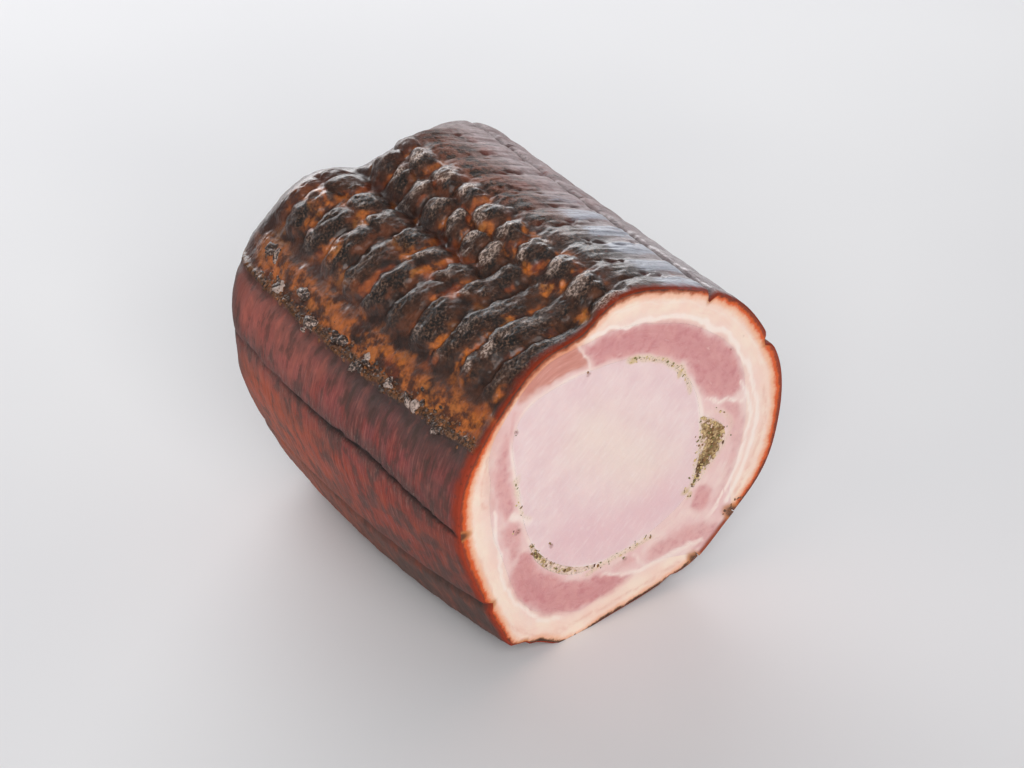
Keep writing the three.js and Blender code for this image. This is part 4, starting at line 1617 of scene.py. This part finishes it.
def loin_piece(loin, browned):
    angle = COLUMNS[:, None]
    outer = loin_radius(angle) + GAP / 2
    centre = 0 * outer
    end = browned_end(angle, outer, centre, -outer, LOIN_END_ROWS)
    run = combined(
        wall(angle, outer, WALL_ROWS),
        (end[0][:, 1:], end[1][:, 1:]),
        (centre, centre),
        across_cut(centre, outer, LOIN_FACE_ROWS),
    )
    first_face = WALL_ROWS + 1 + LOIN_END_ROWS
    marks, finish_rows = meat_marks(angle, run, outer, -outer, first_face)
    piece = ringed("loin_core", angle, run, True, finish_rows, [0, WALL_ROWS], [loin, browned], marks)
    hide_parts("loin")
    return piece


def filling_marks(angle, across, thickness):
    """How full of herbs a filling is across its thickness, and where its dark tail lies."""
    thin = 0.34 - 0.3 * between(angle, *SPARSE_SEAM)
    peak = 0.28 + 0.27 * smooth(angle, *POCKET_PEAK_SHIFTS)
    full = 1 - 0.9 * smooth(np.abs(across - peak), 0.12, 0.6)
    core = blend(thin, full, smooth(thickness, 1.5, 6))
    return {
        "core": core * (1 - 0.75 * smooth(angle, *POCKET_TOP_FADES)),
        "tail": between(angle, *HERB_TAIL),
    }


def herb_piece(name, node, stations, herbs, browned):
    angle = columns_between(stations[0][0], stations[-1][0])[:, None]
    inner = loin_radius(angle) + GAP / 2 + CLOSE_GAP
    outer = loin_radius(angle) + GAP / 2 + herb_thickness(stations, angle)
    radius, distance = combined(
        wall(angle, outer, WALL_ROWS),
        inner_rows(end_profile(angle, outer, inner, LAYER_END_ROWS)),
        reversed_rows(wall(angle, inner, WALL_ROWS)),
        across_cut(inner, outer, HERB_FACE_ROWS),
    )
    rows = np.arange(radius.shape[1])
    first_inside = WALL_ROWS + LAYER_END_ROWS
    on_face = rows > first_inside + WALL_ROWS
    distance = distance + on_face * (0.15 + 0.25 * crags(angle * 0.6, radius, 1.6, 97))
    across = np.clip((radius - inner) / (outer - inner), 0, 1)
    marks = filling_marks(angle, across, outer - inner)
    finish_rows = (rows < first_inside).astype(int)
    sharp = [0, WALL_ROWS, first_inside]
    piece = ringed(name, angle, (radius, distance), False, finish_rows, sharp, [herbs, browned], marks)
    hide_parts(node)
    return piece


# Crumbs and bits: where the big crumbs lie (angle and distance), how many there are, and where the
# burnt ends are on the cut
CRUMB_SEED = 23
CRUMB_BORDER = 151.0
BIG_CRUMBS = [
    (147, 97), (145.5, 121), (153, 20), (151, 32), (152, 45), (152, 60), (151, 75), (152, 87), (150, 110),
]
CRUMBS_IN_BIG = 5
SMALL_CRUMB_COUNT = 320
SMALL_CRUMBS_TO = 124
HERB_SEED = 37
SEAM_START = [(-157, 1.0), (-149, 2.4), (-138, 2.6)]
FILLING_BITS = [(HERB_POCKET, 84), (HERB_SEAM, 12), (SEAM_START, 26)]
LINE_BITS = [
    (HERB_INSIDE, 14, 0.9), (HERB_SIDE, 12, 1.0), (HERB_ARC, 26, 0.6), (HERB_LEFT, 8, 0.6),
    (HERB_BOTTOM, 22, 0.7),
]
BURNT_SEED = 38
BURNT_ENDS = [(47, -43.2), (45.5, -45), (31, -56.8), (49.5, -41)]
BITS_AT_END = 5


def ball(rings):
    """Corners and faces of a small round body."""
    mesh = bmesh.new()
    bmesh.ops.create_icosphere(mesh, subdivisions=rings, radius=1)
    corners = np.array([tuple(corner.co) for corner in mesh.verts])
    faces = np.array([[corner.index for corner in face.verts] for face in mesh.faces])
    mesh.free()
    return corners, faces


def craggy(corners, shift):
    """How far each corner of a bit stands out, as a share of its size."""
    x, y, z = corners.T
    lump = 1 + 0.8 * drift(x * 1.3 + z, y * 1.3 + shift[0], 0.9, 7)
    return lump + 0.4 * drift(y * 2 - z, x * 2 + shift[1], 0.6, 8)


def half_axes(draw, halves, outward):
    """A bit's three half axes, turned at random about its outward direction."""
    turn = draw.uniform(0, 2 * np.pi)
    side_way = np.cross(outward, (0.3, 0.2, 0.9) if abs(outward[1]) > 0.5 else (0, 1, 0))
    side_way = side_way / np.linalg.norm(side_way)
    first = side_way * np.cos(turn) + np.cross(outward, side_way) * np.sin(turn)
    second = np.cross(outward, first)
    return np.array([first * halves[0], second * halves[1], np.array(outward) * halves[2]])


def scattered(name, bits, finish, rings=2):
    """One piece of many small craggy bits. A bit is its middle, its three half sizes, its outward
    direction and its tone from 0 to 1, in millimetres."""
    corners, faces = ball(rings)
    draw = np.random.default_rng(len(bits))
    points = []
    for middle, halves, outward, _ in bits:
        lump = craggy(corners, draw.uniform(0, 90, 2))
        points.append(np.array(middle) + (corners * lump[:, None]) @ half_axes(draw, halves, outward))
    first_corners = np.arange(len(bits)) * len(corners)
    mesh = bpy.data.meshes.new(name)
    all_faces = (faces + first_corners[:, None, None]).reshape(-1, 3)
    mesh.from_pydata((np.concatenate(points) * MM).tolist(), [], all_faces.tolist())
    mesh.materials.append(finish)
    mesh.shade_smooth()
    add_marks(mesh, {"tone": np.repeat([tone for *_, tone in bits], len(corners))})
    return linked(name, mesh)


def skin_point(angle, distance, sunk):
    """Point a little under the skin, and the outward direction there."""
    at = np.array([[angle]], float)
    height = skin_marks(at, np.array([[distance]], float))[0]
    radius = outline(at) + height * smooth(distance, 0, RELIEF_FADE) - sunk
    right, up = on_section(angle, 1)
    return place(at, radius, distance)[0, 0], (right, 0, up)


def border_crumbs():
    """Crumbs of pale and dark crust along the border between the smooth side and the charred top. Their
    pale patches are partly a painted highlight.
    """
    draw = np.random.default_rng(CRUMB_SEED)
    bits = []
    for angle, distance in BIG_CRUMBS:
        for _ in range(CRUMBS_IN_BIG):
            size = draw.uniform(1.0, 2.5)
            at = angle + draw.normal(0, 1.0)
            point, outward = skin_point(at, distance + draw.normal(0, 1.6), size * 0.35)
            halves = size * draw.uniform(0.55, 1.25, 3) * (1, 1, 0.75)
            bits.append((point, halves, outward, draw.uniform(0.3, 0.95)))
    for _ in range(SMALL_CRUMB_COUNT):
        size = draw.uniform(0.3, 1.0)
        distance = draw.uniform(2, SMALL_CRUMBS_TO)
        point, outward = skin_point(CRUMB_BORDER + draw.normal(0, 1.3), distance, size * 0.5)
        halves = size * draw.uniform(0.6, 1.3, 3) * (1, 1, 0.8)
        bits.append((point, halves, outward, draw.uniform(0, 0.35)))
    piece = scattered("border_crumbs", bits, crust_crumbs())
    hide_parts("fat_and_rind")
    return piece


def on_cut(x, z, sunk):
    """Point a little behind the cut, for a place on its face."""
    return AXIS_X + x, -ROAST_LENGTH / 2 + sunk, AXIS_HEIGHT + z


def along_line(draw, line, count, spread):
    """Random places near a smooth line on the cut face."""
    points = smooth_line(line)
    picks = draw.uniform(0, len(points) - 1, count)
    steps = np.arange(len(points))
    x = np.interp(picks, steps, points[:, 0]) + draw.normal(0, spread, count)
    z = np.interp(picks, steps, points[:, 1]) + draw.normal(0, spread, count)
    return list(zip(x, z))


def filling_places(draw, stations, count):
    """Random places inside a herb filling on the cut face."""
    angle = draw.uniform(stations[0][0], stations[-1][0], count)
    thick = curve_through(stations)(angle)
    radius = loin_radius(angle) + thick * draw.normal(0.48, 0.3, count)
    return list(zip(*on_section(angle, radius)))


def herb_bits():
    """Bits of chopped herb that stand a little out of the cut face."""
    draw = np.random.default_rng(HERB_SEED)
    places = []
    for stations, count in FILLING_BITS:
        places += filling_places(draw, stations, count)
    for line, count, spread in LINE_BITS:
        places += along_line(draw, line, count, spread)
    for x, z in BROWN_SPOTS + YELLOW_SPOTS:
        places += [(x + draw.normal(0, 0.6), z + draw.normal(0, 0.6)) for _ in range(2)]
    bits = []
    for x, z in places:
        size = draw.uniform(0.22, 0.7)
        halves = (size, size * draw.uniform(0.4, 0.8), size * draw.uniform(0.2, 0.35))
        middle = on_cut(x, z, halves[2] * draw.uniform(-0.5, 0.4))
        bits.append((middle, halves, (0, -1, 0), draw.uniform(0, 1)))
    piece = scattered("herb_bits", bits, chopped_herbs(), rings=1)
    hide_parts("herb_pocket", "herb_seam")
    return piece


def burnt_bits():
    """Caramel-brown burnt bits where the sheet's ends meet the edge of the cut."""
    draw = np.random.default_rng(BURNT_SEED)
    bits = []
    for x, z in BURNT_ENDS:
        for _ in range(BITS_AT_END):
            size = draw.uniform(0.5, 1.2)
            middle = on_cut(x + draw.normal(0, 1.1), z + draw.normal(0, 0.9), size * 0.25)
            halves = size * draw.uniform(0.6, 1, 3) * (1, 1, 0.5)
            bits.append((middle, halves, (0, -1, 0), draw.uniform(0, 0.2)))
    piece = scattered("burnt_bits", bits, crust_crumbs())
    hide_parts("fat_and_rind")
    return piece


# Floor, camera and light

CAMERA_AZIMUTH = -38
CAMERA_ELEVATION = 37
CAMERA_LENS = 150
CAMERA_REACH = 1.425
AIM_RIGHT = 0.14
AIM_BEHIND_CUT = 59.5
AIM_BELOW_AXIS = 4.83
VIEW_DEPTH = 20
FLOOR_SIZE = 8
SKY_COLOUR = (0.96, 0.98, 1.0, 1)
SKY_STRENGTH = 0.27


def floor():
    bpy.ops.mesh.primitive_plane_add(size=FLOOR_SIZE)
    ground = bpy.context.object
    ground.name = "floor"
    ground.data.materials.append(pale_floor())


def direction(azimuth, elevation):
    """Unit vector from the object towards a viewer; azimuth 0 looks along +Y."""
    a = np.radians(azimuth)
    e = np.radians(elevation)
    return Vector((np.sin(a) * np.cos(e), -np.cos(a) * np.cos(e), np.sin(e)))


def looking(name, data, aim, azimuth, elevation, reach):
    """A camera or lamp that looks at a point from an azimuth and elevation."""
    back = direction(azimuth, elevation)
    viewer = linked(name, data)
    viewer.location = aim + back * reach
    viewer.rotation_euler = back.to_track_quat("Z", "Y").to_euler()
    return viewer


def camera():
    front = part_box("loin")[0].y / MM
    aim = Vector((AXIS_X + AIM_RIGHT, front + AIM_BEHIND_CUT, AXIS_HEIGHT - AIM_BELOW_AXIS)) * MM
    data = bpy.data.cameras.new("camera")
    data.lens = CAMERA_LENS
    data.clip_end = VIEW_DEPTH
    view = looking("camera", data, aim, CAMERA_AZIMUTH, CAMERA_ELEVATION, CAMERA_REACH)
    bpy.context.scene.camera = view


def soft_light(name, azimuth, elevation, reach, size, watts, tint):
    """Rectangular light that looks at the roast from an azimuth and elevation."""
    aim = Vector((0, 0, AXIS_HEIGHT * MM))
    data = bpy.data.lights.new(name, "AREA")
    data.shape = "RECTANGLE"
    data.size, data.size_y = size
    data.energy = watts
    data.color = tint
    looking(name, data, aim, azimuth, elevation, reach)


def lights():
    soft_light(
        "back_light", azimuth=156, elevation=16, reach=1.5,
        size=(1.7, 0.76), watts=25, tint=(0.98, 0.98, 1.0),
    )
    soft_light(
        "front_light", azimuth=-30, elevation=32, reach=1.8,
        size=(1.4, 1.4), watts=25.5, tint=(1.0, 0.98, 0.97),
    )
    world = bpy.data.worlds.new("studio")
    world.use_nodes = True
    sky = world.node_tree.nodes["Background"]
    sky.inputs["Color"].default_value = SKY_COLOUR
    sky.inputs["Strength"].default_value = SKY_STRENGTH
    bpy.context.scene.world = world
    bpy.context.scene.view_settings.view_transform = "Standard"


def roast():
    rind = smoked_rind()
    browned = browned_meat()
    herbs = herb_filling()
    return [
        fat_and_rind_piece(rind, cut_fat()),
        lean_piece(cut_lean(), browned),
        loin_piece(cut_loin(), browned),
        herb_piece("herb_pocket_fill", "herb_pocket", HERB_POCKET, herbs, browned),
        herb_piece("herb_seam_fill", "herb_seam", HERB_SEAM, herbs, browned),
        border_crumbs(),
        herb_bits(),
        burnt_bits(),
    ]


camera()
floor()
lights()
for piece in roast():
    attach(piece, "root")
